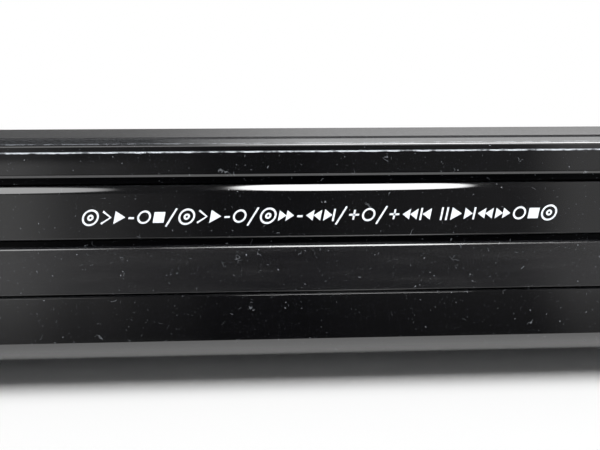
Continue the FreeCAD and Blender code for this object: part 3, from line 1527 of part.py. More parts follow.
def make_clamp_puck():
    """A puck that holds the disc on the turntable: its flange hangs over the bridge."""
    low = seat_z + s.puck_gap
    flange = bridge_top + s.run_gap
    outline = [
        (zero, low),
        (s.puck_radius, low),
        (s.puck_radius, flange),
        (s.puck_flange, flange),
        (s.puck_flange, flange + s.puck_rim),
        (zero, flange + s.puck_rim),
    ]
    keep("clamp_puck", turned(zero, disc_y, outline))


# The whole player

MAKERS = (
    make_front_fascia,
    make_display_window,
    make_keys,
    make_key_switches,
    make_front_board,
    make_top_cover,
    make_bottom_chassis,
    make_rear_panel,
    make_feet,
    make_screws,
    make_jacks,
    make_mains_inlet,
    make_main_board,
    make_flat_cable,
    make_power_board,
    make_transformer,
    make_heat_sink,
    make_fuse,
    make_tray_front,
    make_disc_tray,
    make_drive_gear,
    make_pulley_gear,
    make_loading_motor,
    make_motor_pulley,
    make_loading_belt,
    make_loader_chassis,
    make_cam_slider,
    make_traverse_frame,
    make_rubber_dampers,
    make_deck_plate,
    make_spindle_motor,
    make_turntable,
    make_pickup_drive,
    make_pickup_sled,
    make_objective_lens,
    make_clamp_bridge,
    make_clamp_puck,
)

for make in MAKERS:
    make()
doc.recompute()

failed = [item.Name for item in doc.Objects if {"Invalid", "Error"} & set(item.State)]
if failed:
    raise RuntimeError(f"these objects failed: {failed}")
for name, piece in nodes.items():
    if piece.Shape.isNull() or not piece.Shape.isValid() or not piece.Shape.Solids:
        raise RuntimeError(f"{name} has no sound solid")

os.makedirs("parts", exist_ok=True)
for name, piece in nodes.items():
    piece.Shape.exportStep(f"parts/{name}.step")
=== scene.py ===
import math

import bmesh
import bpy
from mathutils import Euler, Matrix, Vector


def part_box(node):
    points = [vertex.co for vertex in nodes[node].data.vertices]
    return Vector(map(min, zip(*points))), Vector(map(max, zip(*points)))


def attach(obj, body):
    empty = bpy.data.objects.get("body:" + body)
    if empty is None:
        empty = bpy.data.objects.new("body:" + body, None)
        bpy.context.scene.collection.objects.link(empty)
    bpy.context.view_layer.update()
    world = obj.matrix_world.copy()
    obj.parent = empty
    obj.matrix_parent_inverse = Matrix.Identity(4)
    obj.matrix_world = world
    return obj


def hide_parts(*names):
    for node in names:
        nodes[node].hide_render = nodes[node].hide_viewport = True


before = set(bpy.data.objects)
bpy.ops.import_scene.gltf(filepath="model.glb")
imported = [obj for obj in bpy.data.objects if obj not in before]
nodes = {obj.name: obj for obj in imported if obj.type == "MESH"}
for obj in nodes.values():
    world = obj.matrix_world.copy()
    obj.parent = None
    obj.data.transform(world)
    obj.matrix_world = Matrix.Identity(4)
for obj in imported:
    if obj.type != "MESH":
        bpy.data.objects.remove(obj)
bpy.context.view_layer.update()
scene = bpy.context.scene
MM = 0.001
WHITE = (1, 1, 1, 1)

# Places read from the frame. The front's bands are A, the tray's, the window's and D, from the top.

fascia_low, fascia_high = (Vector(corner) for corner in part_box("front_fascia"))
door_low, door_high = (Vector(corner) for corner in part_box("tray_front"))
window_low, window_high = (Vector(corner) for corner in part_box("display_window"))
HALF = fascia_high.x
FACE = fascia_low.y
RIM = fascia_high.y
FOOT = fascia_low.z
LEDGE = fascia_high.z
D_LOW = 10.4 * MM
D_HIGH = window_low.z - 0.33 * MM
A_LOW = door_high.z + 1.4 * MM
A_HIGH = 40.7 * MM
CEILING = 42.2 * MM


def linked(name, data):
    """A new object in the scene with this data."""
    item = bpy.data.objects.new(name, data)
    scene.collection.objects.link(item)
    return item


# Camera: its place in metres from the front's middle, its turns in degrees

CAMERA_AHEAD = 0.170
CAMERA_LEFT = 0.0160
CAMERA_RISE = 0.0456
CAMERA_DOWN = 5.59
CAMERA_RIGHT = 4.3
CAMERA_ROLL = -0.29
LENS = 64.1
SENSOR = 36
CLIP_START = 0.01


def add_camera():
    """The photo's view of the middle of the front."""
    camera = linked("camera", bpy.data.cameras.new("camera"))
    camera.data.lens = LENS
    camera.data.sensor_width = SENSOR
    camera.data.clip_start = CLIP_START
    camera.location = (-CAMERA_LEFT, FACE - CAMERA_AHEAD, CAMERA_RISE)
    turns = (math.radians(90 - CAMERA_DOWN), 0, math.radians(-CAMERA_RIGHT))
    aim = Euler(turns, "XYZ").to_matrix()
    roll = Euler((0, 0, math.radians(CAMERA_ROLL)), "XYZ").to_matrix()
    camera.rotation_euler = (aim @ roll).to_euler()
    scene.camera = camera


# Building materials from nodes


def seen_rays(tree):
    """Rays for which the background is plain white: seen directly, in gloss or through glass."""
    path = tree.nodes.new("ShaderNodeLightPath")
    seen = path.outputs["Is Camera Ray"]
    for name in ("Is Glossy Ray", "Is Transmission Ray"):
        either = tree.nodes.new("ShaderNodeMath")
        either.operation = "MAXIMUM"
        tree.links.new(seen, either.inputs[0])
        tree.links.new(path.outputs[name], either.inputs[1])
        seen = either.outputs["Value"]
    return seen


class Shader:
    """Builds one node material around a Principled shader."""

    def __init__(self, name, **settings):
        self.material = bpy.data.materials.new(name)
        self.material.use_nodes = True
        self.tree = self.material.node_tree
        self.surface = self.tree.nodes["Principled BSDF"]
        self.place = self.new("TexCoord").outputs["Object"]
        for setting, value in settings.items():
            socket = setting.replace("_", " ").title().replace("Ior", "IOR")
            self.surface.inputs[socket].default_value = value

    def link(self, start, end):
        self.tree.links.new(start, end)

    def new(self, kind, **settings):
        node = self.tree.nodes.new("ShaderNode" + kind)
        for name, value in settings.items():
            setattr(node, name, value)
        return node

    def axes(self):
        """The object's coordinates, an output for each axis."""
        split = self.new("SeparateXYZ")
        self.link(self.place, split.inputs["Vector"])
        return split.outputs

    def noise(self, scale, detail, stretch=(1, 1, 1)):
        """Noise over the object, with its coordinates scaled differently along each axis."""
        mapping = self.new("Mapping")
        mapping.inputs["Scale"].default_value = stretch
        self.link(self.place, mapping.inputs["Vector"])
        node = self.new("TexNoise")
        node.inputs["Scale"].default_value = scale
        node.inputs["Detail"].default_value = detail
        self.link(mapping.outputs["Vector"], node.inputs["Vector"])
        return node.outputs["Fac"]

    def between(self, value, low, high, start=0.0, end=1.0):
        """Maps low..high to start..end, held at both ends."""
        node = self.new("MapRange", clamp=True)
        self.link(value, node.inputs["Value"])
        sockets = ("From Min", "From Max", "To Min", "To Max")
        for name, number in zip(sockets, (low, high, start, end)):
            node.inputs[name].default_value = number
        return node.outputs["Result"]

    def math(self, operation, first, second=None):
        """A sum of numbers or outputs."""
        node = self.new("Math", operation=operation)
        for socket, value in zip(node.inputs, (first, second)):
            if isinstance(value, (int, float)):
                socket.default_value = value
            elif value is not None:
                self.link(value, socket)
        return node.outputs["Value"]

    def blend(self, share, first, second):
        """A colour between two."""
        node = self.new("Mix", data_type="RGBA")
        self.link(share, node.inputs["Factor"])
        node.inputs[6].default_value = (*first, 1)
        node.inputs[7].default_value = (*second, 1)
        return node.outputs[2]

    def bump(self, height, distance):
        node = self.new("Bump")
        node.inputs["Distance"].default_value = distance
        node.inputs["Strength"].default_value = 1.0
        self.link(height, node.inputs["Height"])
        self.link(node.outputs["Normal"], self.surface.inputs["Normal"])

    def colour(self, output):
        self.link(output, self.surface.inputs["Base Color"])

    def roughness(self, output):
        self.link(output, self.surface.inputs["Roughness"])

    def emission(self):
        """A white emission of strength 1."""
        light = self.new("Emission")
        light.inputs["Color"].default_value = WHITE
        light.inputs["Strength"].default_value = 1.0
        return light

    def mixed(self, share, first, second):
        """One shader passing into another."""
        mix = self.new("MixShader")
        for output, socket in zip((share, first, second), mix.inputs):
            self.link(output, socket)
        return mix.outputs["Shader"]

    def shown(self, output):
        """The material, with this output for its surface."""
        self.link(output, self.tree.nodes["Material Output"].inputs["Surface"])
        return self.material

    def glowing(self, strength):
        """The material as white light alone, of this strength."""
        light = self.emission()
        self.link(strength, light.inputs["Strength"])
        self.tree.nodes.remove(self.surface)
        return self.shown(light.outputs["Emission"])


# Dust and wear, light lines along edges that are partly painted highlight, and painted shade in
# recesses. Scales are in cells or patches to a metre.

# Layers of specks: scale, share of the cells that hold one, and how much it hides
SPECKS = ((900, 0.11, 0.42), (1400, 0.24, 0.28), (2100, 0.28, 0.18))
SPECK_CORE = 0.05
SPECK_EDGE = 0.135
CHOICE_STEP = 0.001
# A drift that bends specks and hairs
DRIFT_SCALE = 500
DRIFT = 0.004
HAIR_SCALE = 260
HAIR_CORE = 0.004
HAIR_EDGE = 0.014
HAIR_STRENGTH = 0.16
HAIR_PATCHES = 420
HAIR_RARE = (0.69, 0.72)
FILM_FACING = (0.93, 0.99)
FILM_SCALE = 2600
FILM_PATCHES = (0.34, 0.74)
# Colour of dust, and also the colour of the painted highlights along edges
DUST_AND_HIGHLIGHT_TONE = (0.62, 0.66, 0.72)
DUST_ROUGHNESS = 0.8
# Light lines along edges, partly worn rubbing and partly painted highlight: noise scale, waviness,
# and how they come and go along the edge
WEAR_AND_HIGHLIGHT_SCALE = 700
WEAR_AND_HIGHLIGHT_WAVE = 0.28
WEAR_AND_HIGHLIGHT_PATCHES = (0.36, 0.56, 0.2, 1)
# Painted shade in recesses: the specular level falls from SPECULAR to RECESS_SPECULAR, over this
# blur at the mask's edges
RECESS_BLUR = 0.3 * MM
SPECULAR = 0.5
RECESS_SPECULAR = 0.03
GLOSS_IOR = 1.9
WIPE_SCALE = 260
WIPE_STRETCH = (0.25, 1, 3)
RIPPLE_SCALE = 60
RIPPLE = 0.000012


def dust(shader, amount, film_share):
    """How much of the surface is hidden by specks, hairs and a film of dust on what faces up."""
    drift = shader.new("TexNoise")
    drift.inputs["Scale"].default_value = DRIFT_SCALE
    shader.link(shader.place, drift.inputs["Vector"])
    small = shader.new("VectorMath", operation="SCALE")
    small.inputs["Scale"].default_value = DRIFT
    shader.link(drift.outputs["Color"], small.inputs[0])
    curl = shader.new("VectorMath", operation="ADD")
    shader.link(shader.place, curl.inputs[0])
    shader.link(small.outputs["Vector"], curl.inputs[1])
    few = None
    for scale, share, strength in SPECKS:
        specks = shader.new("TexVoronoi")
        specks.inputs["Scale"].default_value = scale
        shader.link(curl.outputs["Vector"], specks.inputs["Vector"])
        spot = shader.between(specks.outputs["Distance"], SPECK_CORE, SPECK_EDGE, strength, 0)
        tone = shader.new("SeparateColor")
        shader.link(specks.outputs["Color"], tone.inputs["Color"])
        limit = 1 - share * amount
        choice = shader.between(tone.outputs["Red"], limit, limit + CHOICE_STEP)
        chosen = shader.math("MULTIPLY", spot, choice)
        few = shader.math("MAXIMUM", few, chosen) if few else chosen
    hairs = shader.new("TexVoronoi", feature="DISTANCE_TO_EDGE")
    hairs.inputs["Scale"].default_value = HAIR_SCALE
    shader.link(curl.outputs["Vector"], hairs.inputs["Vector"])
    thin = shader.between(hairs.outputs["Distance"], HAIR_CORE, HAIR_EDGE, HAIR_STRENGTH, 0)
    rare = shader.between(shader.noise(HAIR_PATCHES, 1), *HAIR_RARE)
    few = shader.math("MAXIMUM", few, shader.math("MULTIPLY", thin, rare))
    facing = shader.new("SeparateXYZ")
    shader.link(shader.new("NewGeometry").outputs["Normal"], facing.inputs["Vector"])
    up = shader.between(facing.outputs["Z"], *FILM_FACING, 0, film_share)
    film = shader.between(shader.noise(FILM_SCALE, 3), *FILM_PATCHES)
    return shader.math("MAXIMUM", few, shader.math("MULTIPLY", up, film))


def worn_and_highlit_edge(shader, height, half_width, strength):
    """A light line along an edge at this height, broken up along its length: worn rubbing and a
    painted highlight on the edge.
    """
    wear_and_highlight_noise = shader.noise(WEAR_AND_HIGHLIGHT_SCALE, 4)
    wave = shader.between(wear_and_highlight_noise, 0.3, 0.7, -WEAR_AND_HIGHLIGHT_WAVE, WEAR_AND_HIGHLIGHT_WAVE)
    off = shader.math("SUBTRACT", shader.axes()["Z"], height)
    off = shader.math("ADD", shader.math("DIVIDE", off, half_width), wave)
    line = shader.between(shader.math("ABSOLUTE", off), 0.5, 1.0, strength, 0)
    return shader.math("MULTIPLY", line, shader.between(wear_and_highlight_noise, *WEAR_AND_HIGHLIGHT_PATCHES))


def painted_recess_shade(shader, depth, low, high):
    """Painted shade: take the shine off what lies deeper than this and between these heights, so
    the grooves there show black.
    """
    axes = shader.axes()
    shade_share = shader.between(axes["Y"], depth, depth + RECESS_BLUR)
    above = shader.between(axes["Z"], low, low + RECESS_BLUR)
    below = shader.between(axes["Z"], high, high + RECESS_BLUR, 1, 0)
    for limit in (above, below):
        shade_share = shader.math("MULTIPLY", shade_share, limit)
    level = shader.between(shade_share, 0, 1, SPECULAR, RECESS_SPECULAR)
    shader.link(level, shader.surface.inputs["Specular IOR Level"])


def gloss(name, base, haze, dusty=1.0, edges=(), film_share=0.17, recess=None):
    """Black gloss plastic with a ripple, fine wipe marks, light lines along edges that are worn
    rubbing and painted highlight, painted shade in recesses, and dust.
    """
    shader = Shader(name, ior=GLOSS_IOR)
    hidden = dust(shader, dusty, film_share)
    if recess:
        painted_recess_shade(shader, *recess)
    # Light lines along edges, lightened towards the dust's colour: worn rubbing and painted
    # highlight
    for height, half_width, strength in edges:
        edge_wear_and_highlight = worn_and_highlit_edge(shader, height, half_width, strength)
        hidden = shader.math("MAXIMUM", hidden, edge_wear_and_highlight)
    # Dust and the painted edge highlights both pull the colour towards the light dust tone
    shader.colour(shader.blend(hidden, base, DUST_AND_HIGHLIGHT_TONE))
    wipes = shader.noise(WIPE_SCALE, 3, WIPE_STRETCH)
    marks = shader.between(wipes, 0.3, 0.8, haze * 0.6, haze * 1.6)
    rough = shader.math("MULTIPLY", hidden, DUST_ROUGHNESS)
    shader.roughness(shader.math("MAXIMUM", marks, rough))
    shader.bump(shader.noise(RIPPLE_SCALE, 1), RIPPLE)
    return shader.material


def satin(name, base, grain, rough, deep=0.00002, **settings):
    """Painted or moulded surface with a fine even grain."""
    shader = Shader(name, **settings)
    tone = shader.noise(grain * 0.2, 3)
    dark = tuple(channel * 0.85 for channel in base)
    light = tuple(min(channel * 1.12, 1) for channel in base)
    shader.colour(shader.blend(tone, dark, light))
    wear = shader.noise(grain * 0.5, 2)
    shader.roughness(shader.between(wear, 0.3, 0.7, rough * 0.85, rough * 1.15))
    shader.bump(shader.noise(grain, 3), deep)
    return shader.material


def metal(name, base, rough, stretch=(1, 1, 1)):
    """Metal with a faint directional grain."""
    shader = Shader(name, metallic=1.0)
    tone = shader.noise(900, 4, stretch)
    dark = tuple(channel * 0.86 for channel in base)
    shader.colour(shader.blend(tone, dark, base))
    shader.roughness(shader.between(tone, 0.3, 0.7, rough * 0.8, rough * 1.2))
    shader.bump(tone, 0.000002)
    return shader.material


# Colour, scale of the grain, roughness and, where it isn't the usual one, depth of the grain
SATINS = {
    "foot_rubber": ((0.02, 0.02, 0.02), 2000, 0.8),
    "board_green": ((0.03, 0.16, 0.06), 800, 0.35),
    "board_tan": ((0.42, 0.3, 0.14), 900, 0.5),
    "component_black": ((0.02, 0.02, 0.02), 2000, 0.5),
    "display_glass": ((0.02, 0.035, 0.035), 600, 0.08),
    "lamp_red": ((0.4, 0.01, 0.01), 600, 0.1),
    "sensor_smoke": ((0.03, 0.012, 0.016), 600, 0.12),
    "socket_white": ((0.82, 0.82, 0.8), 900, 0.35),
    "capacitor_sleeve": ((0.012, 0.03, 0.12), 700, 0.25),
    "ferrite": ((0.07, 0.07, 0.07), 1500, 0.6),
    "fuse_glass": ((0.7, 0.75, 0.74), 500, 0.05),
    "cable_white": ((0.82, 0.82, 0.8), 600, 0.4),
    "plug_white": ((0.82, 0.8, 0.7), 900, 0.4),
    "tray_grey": ((0.05, 0.05, 0.054), 4200, 0.5, 0.00003),
    "loader_grey": ((0.08, 0.08, 0.085), 3600, 0.55, 0.00003),
    "gear_white": ((0.8, 0.78, 0.7), 1200, 0.35),
    "belt_rubber": ((0.014, 0.014, 0.014), 2000, 0.7),
    "damper_rubber": ((0.08, 0.08, 0.09), 1800, 0.8),
    "lens_plastic": ((0.06, 0.08, 0.12), 500, 0.08),
}
# Colour, roughness and, where the grain has a direction, how it is stretched
METALS = {
    "zinc_steel": ((0.62, 0.63, 0.64), 0.35),
    "screw_steel": ((0.16, 0.16, 0.17), 0.35),
    "bright_screw": ((0.7, 0.7, 0.7), 0.25),
    "nickel": ((0.72, 0.72, 0.69), 0.15),
    "sink_aluminium": ((0.75, 0.75, 0.76), 0.3, (1, 1, 0.05)),
    "motor_steel": ((0.6, 0.6, 0.58), 0.3, (1, 1, 0.1)),
    "deck_steel": ((0.68, 0.68, 0.67), 0.32, (0.1, 1, 1)),
    "rod_steel": ((0.75, 0.75, 0.75), 0.12, (1, 0.05, 1)),
    "sled_metal": ((0.5, 0.5, 0.5), 0.4),
}
MATERIALS = {
    "fascia_black": gloss(
        "fascia_black",
        (0.0015, 0.0015, 0.002),
        0.05,
        # Light lines: the one at the top of band A is worn rubbing and a painted highlight, the
        # fainter one 1.3 mm higher is a painted highlight
        edges=[(A_HIGH, 0.00015, 0.75), (A_HIGH + 0.0013, 0.0001, 0.3)],
        # Painted shade: the shine taken off deep in the grooves between the bands
        recess=(FACE + 0.0009, D_LOW + 0.0003, A_HIGH - 0.0006),
    ),
    "smoked_window": gloss("smoked_window", (0.006, 0.006, 0.007), 0.16, 1.6, film_share=0.12),
    "key_black": gloss("key_black", (0.002, 0.002, 0.003), 0.06),
    "cover_black": satin(
        "cover_black", (0.02, 0.02, 0.022), 3000, 0.45, specular_ior_level=0.42
    ),
    **{name: satin(name, *settings) for name, settings in SATINS.items()},
    **{name: metal(name, *settings) for name, settings in METALS.items()},
}


def dress(item):
    """Give a node the material of each of its slots."""
    for place in item.material_slots:
        name = place.material.name.split(".")[0]
        if name in MATERIALS:
            place.material = MATERIALS[name]


# Rounded edges

FRONT_EDGE = 0.03 * MM
COVER_EDGE = 0.05 * MM
EDGE_STEPS = 3
EDGE_ANGLE = 25
WELD = 0.002 * MM
FLAT_ANGLE = 0.5
NORMAL_WEIGHT = 100


def soften(item, width):
    """Round the outer edges of a moulded or folded piece, as its tool leaves them."""
    for face in item.data.polygons:
        face.use_smooth = True
    weld = item.modifiers.new("weld", "WELD")
    weld.merge_threshold = WELD
    flat = item.modifiers.new("flat", "DECIMATE")
    flat.decimate_type = "DISSOLVE"
    flat.angle_limit = math.radians(FLAT_ANGLE)
    edge = item.modifiers.new("edge", "BEVEL")
    edge.width = width
    edge.segments = EDGE_STEPS
    edge.limit_method = "ANGLE"
    edge.angle_limit = math.radians(EDGE_ANGLE)
    even = item.modifiers.new("even", "WEIGHTED_NORMAL")
    even.weight = NORMAL_WEIGHT


# Front panel, with finer curves than the CAD mesh

BELLY_DEPTH = 9 * MM
BELLY_RADIUS = 13 * MM
BELLY_STEPS = 28
BEVEL = 1.0 * MM
WINDOW_ROUND = 0.4 * MM
WINDOW_STEPS = 10
CREASE = 0.22 * MM
CREST_ROUND = 2.4 * MM
CREST_STEPS = 10
GROOVE = 1.6 * MM
LEDGE_DEPTH = 5.3 * MM
WALL = 3 * MM
RIM_WALL = 2.3 * MM
ROUND_HEIGHT = 1.2 * MM
ROUND_RADIUS = 2.0 * MM
ROUND_STEPS = 12
END_ROUND = 3 * MM
END_STEPS = 10
STUB = 211.9 * MM
STEP = 0.2 * MM
# Band A's lower lip, from the top down: how far behind the face, and height above the groove
LIP = ((0, 0.65 * MM), (0.08 * MM, 0.36 * MM), (0.26 * MM, 0))
MARGIN = 0.3 * MM
MOUTH_SIDE = 0.6 * MM
# The pieces that look out through the window, and half the height of each one's opening
LOOKOUTS = {"display_module": 2.1 * MM, "remote_sensor": 2.1 * MM, "standby_lamp": MM}
# The keys, and the symbol on each
KEYS = {
    "power_button": "power",
    "open_close_button": "eject",
    "stop_button": "stop",
    "play_button": "play",
    "skip_back_button": "last",
    "skip_forward_button": "next",
}
KEY_SYMBOL = 1.9 * MM
KEY_DISH = 14**2 / 60 / 8 * MM
KEY_WIDTH = 14 * MM
KEY_HEIGHT = 4.6 * MM
KEY_GAP = 0.25 * MM
KEY_LOW = (D_LOW + D_HIGH - KEY_HEIGHT) / 2


def arc(start, end, radius, steps):
    """Points along an arc, without its start; it bulges to the right of the way it runs."""
    a, b = Vector(start), Vector(end)
    chord = b - a
    left = Vector((-chord.y, chord.x)).normalized()
    centre = (a + b) / 2 + left * math.sqrt(radius**2 - chord.length**2 / 4)
    first = math.atan2(a.y - centre.y, a.x - centre.x)
    sweep = 2 * math.asin(chord.length / 2 / radius)
    turns = [first + sweep * i / steps for i in range(1, steps + 1)]
    return [(centre.x + radius * math.cos(t), centre.y + radius * math.sin(t)) for t in turns]


def extruded(name, outline, low, high, along):
    """A solid with this outline, drawn out along X from its side view or along Z from its plan."""
    place = (lambda p, s: (s, p[0], p[1])) if along == "X" else (lambda p, s: (p[0], p[1], s))
    solid = bmesh.new()
    ends = [[solid.verts.new(place(p, s)) for p in outline] for s in (low, high)]
    solid.faces.new(reversed(ends[0]))
    solid.faces.new(ends[1])
    count = len(outline)
    for i in range(count):
        j = (i + 1) % count
        solid.faces.new((ends[0][i], ends[0][j], ends[1][j], ends[1][i]))
    mesh = bpy.data.meshes.new(name)
    solid.to_mesh(mesh)
    solid.free()
    return linked(name, mesh)


def carve(item, operation, tool):
    """Cut a piece with a tool, or keep only what lies in the tool, and drop the tool."""
    change = item.modifiers.new("carve", "BOOLEAN")
    change.operation = operation
    change.solver = "EXACT"
    change.object = tool
    view = bpy.context.evaluated_depsgraph_get()
    carved = bpy.data.meshes.new_from_object(item.evaluated_get(view))
    item.modifiers.clear()
    item.data = carved
    bpy.data.objects.remove(tool)


def block(x, y, z):
    """A box to cut with, by its range along each axis."""
    outline = [(x[0], y[0]), (x[1], y[0]), (x[1], y[1]), (x[0], y[1])]
    return extruded("tool", outline, z[0], z[1], "Z")


def band_edge(low, high, crease, radius, rise, steps):
    """A band's front edge from its lower crease up over its rounded top."""
    depth = radius - math.sqrt(radius**2 - rise**2)
    top, start = (FACE + depth, high), (FACE, high - rise)
    bend = [top, *arc(top, start, radius, steps)]
    return [(FACE + crease, low), (FACE, low + crease), *reversed(bend)]


DOOR_EDGE = band_edge(
    door_low.z, door_high.z, CREASE, ROUND_RADIUS, ROUND_HEIGHT, ROUND_STEPS
)
WINDOW_EDGE = band_edge(
    window_low.z, window_high.z, CREASE / 2, WINDOW_ROUND, WINDOW_ROUND, WINDOW_STEPS
)


def front_profile():
    """The front panel from the side, from the belly round the back and down over the bands."""
    groove = FACE + GROOVE
    ledge = FACE + LEDGE_DEPTH
    start = (FACE, D_LOW)
    crest = Vector((FACE + BEVEL, A_HIGH + BEVEL))
    slope = math.atan2(LEDGE - crest.y, ledge - crest.x)
    tangent = CREST_ROUND * math.tan((math.radians(45) - slope) / 2)
    behind = crest + tangent * Vector((math.cos(slope), math.sin(slope)))
    ahead = crest - tangent * Vector((math.sqrt(0.5), math.sqrt(0.5)))
    return [
        start,
        *arc(start, (FACE + BELLY_DEPTH, FOOT), BELLY_RADIUS, BELLY_STEPS),
        (RIM, FOOT),
        (RIM, CEILING),
        (ledge, CEILING),
        (ledge, LEDGE),
        tuple(behind),
        *arc(behind, ahead, CREST_ROUND, CREST_STEPS),
        (FACE, A_HIGH),
        *((FACE + depth, A_LOW + height) for depth, height in LIP),
        (groove, A_LOW),
        (groove, door_high.z),
        *reversed(DOOR_EDGE),
        (groove, door_low.z),
        (groove, window_high.z),
        *reversed(WINDOW_EDGE),
        (groove, window_low.z),
        (groove, D_HIGH),
        (FACE + CREASE, D_HIGH),
        (FACE, D_HIGH - CREASE),
    ]


def front_plan():
    """The front panel from above, with round ends and a narrower part behind the ledge."""
    ledge = FACE + LEDGE_DEPTH
    corner = FACE + END_ROUND
    inner = HALF - END_ROUND
    left = [(-HALF, corner), *arc((-HALF, corner), (-inner, FACE), END_ROUND, END_STEPS)]
    right = [(inner, FACE), *arc((inner, FACE), (HALF, corner), END_ROUND, END_STEPS)]
    stub = [(STUB, ledge), (STUB, RIM), (-STUB, RIM), (-STUB, ledge)]
    return [*left, *right, (HALF, ledge), *stub, (-HALF, ledge)]


def front_hollow():
    """The space behind the front's wall, from the side."""
    wall = FACE + WALL
    past = RIM + STEP
    return [
        (wall, D_LOW),
        (FACE + BELLY_DEPTH, FOOT + RIM_WALL),
        (past, FOOT + RIM_WALL),
        (past, CEILING - RIM_WALL),
        (wall, CEILING - RIM_WALL),
    ]


def front_openings():
    """The range along each axis of the tray's mouth, the window's seat, the keys and lookouts."""
    deep = FACE + WALL + STEP
    through = (FACE - STEP, deep)
    mouth = door_high.x + MOUTH_SIDE
    yield (-mouth, mouth), through, (door_low.z - MARGIN, door_high.z + MARGIN)
    window = window_high.x + STEP
    yield (-window, window), (FACE - STEP, FACE + GROOVE), (D_HIGH, door_low.z)
    for name in KEYS:
        low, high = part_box(name)
        middle = (low[0] + high[0]) / 2
        half = KEY_WIDTH / 2 + KEY_GAP
        tall = (KEY_LOW - KEY_GAP, KEY_LOW + KEY_HEIGHT + KEY_GAP)
        yield (middle - half, middle + half), through, tall
    middle = (window_low.z + window_high.z) / 2
    for name, half in LOOKOUTS.items():
        low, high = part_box(name)
        tall = (middle - half - MARGIN, middle + half + MARGIN)
        yield (low[0] - MARGIN, high[0] + MARGIN), (FACE + MM, deep), tall


def settle(item, body, node, slot):
    """Give a front piece its material, its body and soft edges, and hide the CAD node that it
    stands for.
    """
    item.data.materials.clear()
    item.data.materials.append(MATERIALS[slot])
    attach(item, body)
    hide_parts(node)
    soften(item, FRONT_EDGE)


def add_front():
    """The front panel: its profile, its round ends, and its hollow and openings as in the CAD."""
    panel = extruded("front_panel_skin", front_profile(), -HALF, HALF, "X")
    carve(panel, "INTERSECT", extruded("tool", front_plan(), 0, LEDGE + MM, "Z"))
    hollow = extruded("tool", front_hollow(), RIM_WALL - STUB, STUB - RIM_WALL, "X")
    carve(panel, "DIFFERENCE", hollow)
    for x, y, z in front_openings():
        carve(panel, "DIFFERENCE", block(x, y, z))
    settle(panel, "case", "front_fascia", "fascia_black")


def band_piece(name, edge, low, high):
    """A band that is a piece of its own, with a flat back."""
    outline = [*edge, (high.y, high.z), (high.y, low.z)]
    return extruded(name, outline[::-1], low.x, high.x, "X")


def add_bands():
    """The tray's front and the display window."""
    door = band_piece("tray_door_skin", DOOR_EDGE, door_low, door_high)
    settle(door, "tray", "tray_front", "fascia_black")
    window = band_piece("display_window_skin", WINDOW_EDGE, window_low, window_high)
    settle(window, "case", "display_window", "smoked_window")


# Printed row of generic symbols on the tray front

PRINT_LEFT = -38.0 * MM
PRINT_RIGHT = 38.6 * MM
PRINT_LOW = 29.24 * MM
PRINT_HEIGHT = 2.45 * MM
PRINT_THICK = 0.03 * MM
STROKE = 0.25
SLANT = 0.21
RING_SIDES = 24
CLOSED = 1e-6
INK_DARK = (0.62, 0.66, 0.72)
INK_LIGHT = (0.85, 0.88, 0.92)


def ring(radius, x):
    """A circle drawn as a line, closed where it starts."""
    turns = (2 * math.pi * i / RING_SIDES for i in range(RING_SIDES + 1))
    return [(x + radius * math.cos(turn), 1 + radius * math.sin(turn)) for turn in turns]


# Each symbol: its width, its filled outlines and its lines, in a square two units high
SYMBOLS = {
    "play": (1.6, [[(0.1, 0.15), (1.5, 1.0), (0.1, 1.85)]], []),
    "pause": (1.3, [], [[(0.3, 0.15), (0.3, 1.85)], [(1.0, 0.15), (1.0, 1.85)]]),
    "stop": (1.6, [[(0.1, 0.25), (1.5, 0.25), (1.5, 1.65), (0.1, 1.65)]], []),
    "record": (1.9, [], [ring(0.75, 0.95)]),
    "disc": (2.2, [], [ring(0.95, 1.1), ring(0.28, 1.1)]),
    "eject": (1.8, [[(0.1, 0.75), (1.7, 0.75), (0.9, 1.9)]], [[(0.1, 0.3), (1.7, 0.3)]]),
    "forward": (
        2.2,
        [[(0.1, 0.3), (1.1, 1.0), (0.1, 1.7)], [(1.1, 0.3), (2.1, 1.0), (1.1, 1.7)]],
        [],
    ),
    "back": (
        2.2,
        [[(1.1, 0.3), (0.1, 1.0), (1.1, 1.7)], [(2.1, 0.3), (1.1, 1.0), (2.1, 1.7)]],
        [],
    ),
    "next": (1.6, [[(0.1, 0.25), (1.2, 1.0), (0.1, 1.75)]], [[(1.4, 0.2), (1.4, 1.8)]]),
    "last": (1.6, [[(1.5, 0.25), (0.4, 1.0), (1.5, 1.75)]], [[(0.2, 0.2), (0.2, 1.8)]]),
    "plus": (1.6, [], [[(0.15, 1.0), (1.45, 1.0)], [(0.8, 0.35), (0.8, 1.65)]]),
    "dash": (1.0, [], [[(0.15, 0.9), (0.85, 0.9)]]),
    "slash": (1.3, [], [[(0.1, -0.25), (1.1, 2.1)]]),
    "angle": (1.5, [], [[(0.2, 0.2), (1.3, 1.0), (0.2, 1.8)]]),
    "power": (1.9, [], [ring(0.7, 0.95), [(0.95, 1.0), (0.95, 2.0)]]),
    "space": (0.7, [], []),
}
ROW = (
    "disc angle play dash record stop slash disc angle play dash record slash disc forward "
    "dash back next slash plus record slash plus back last space pause play next back forward "
    "record stop disc"
).split()


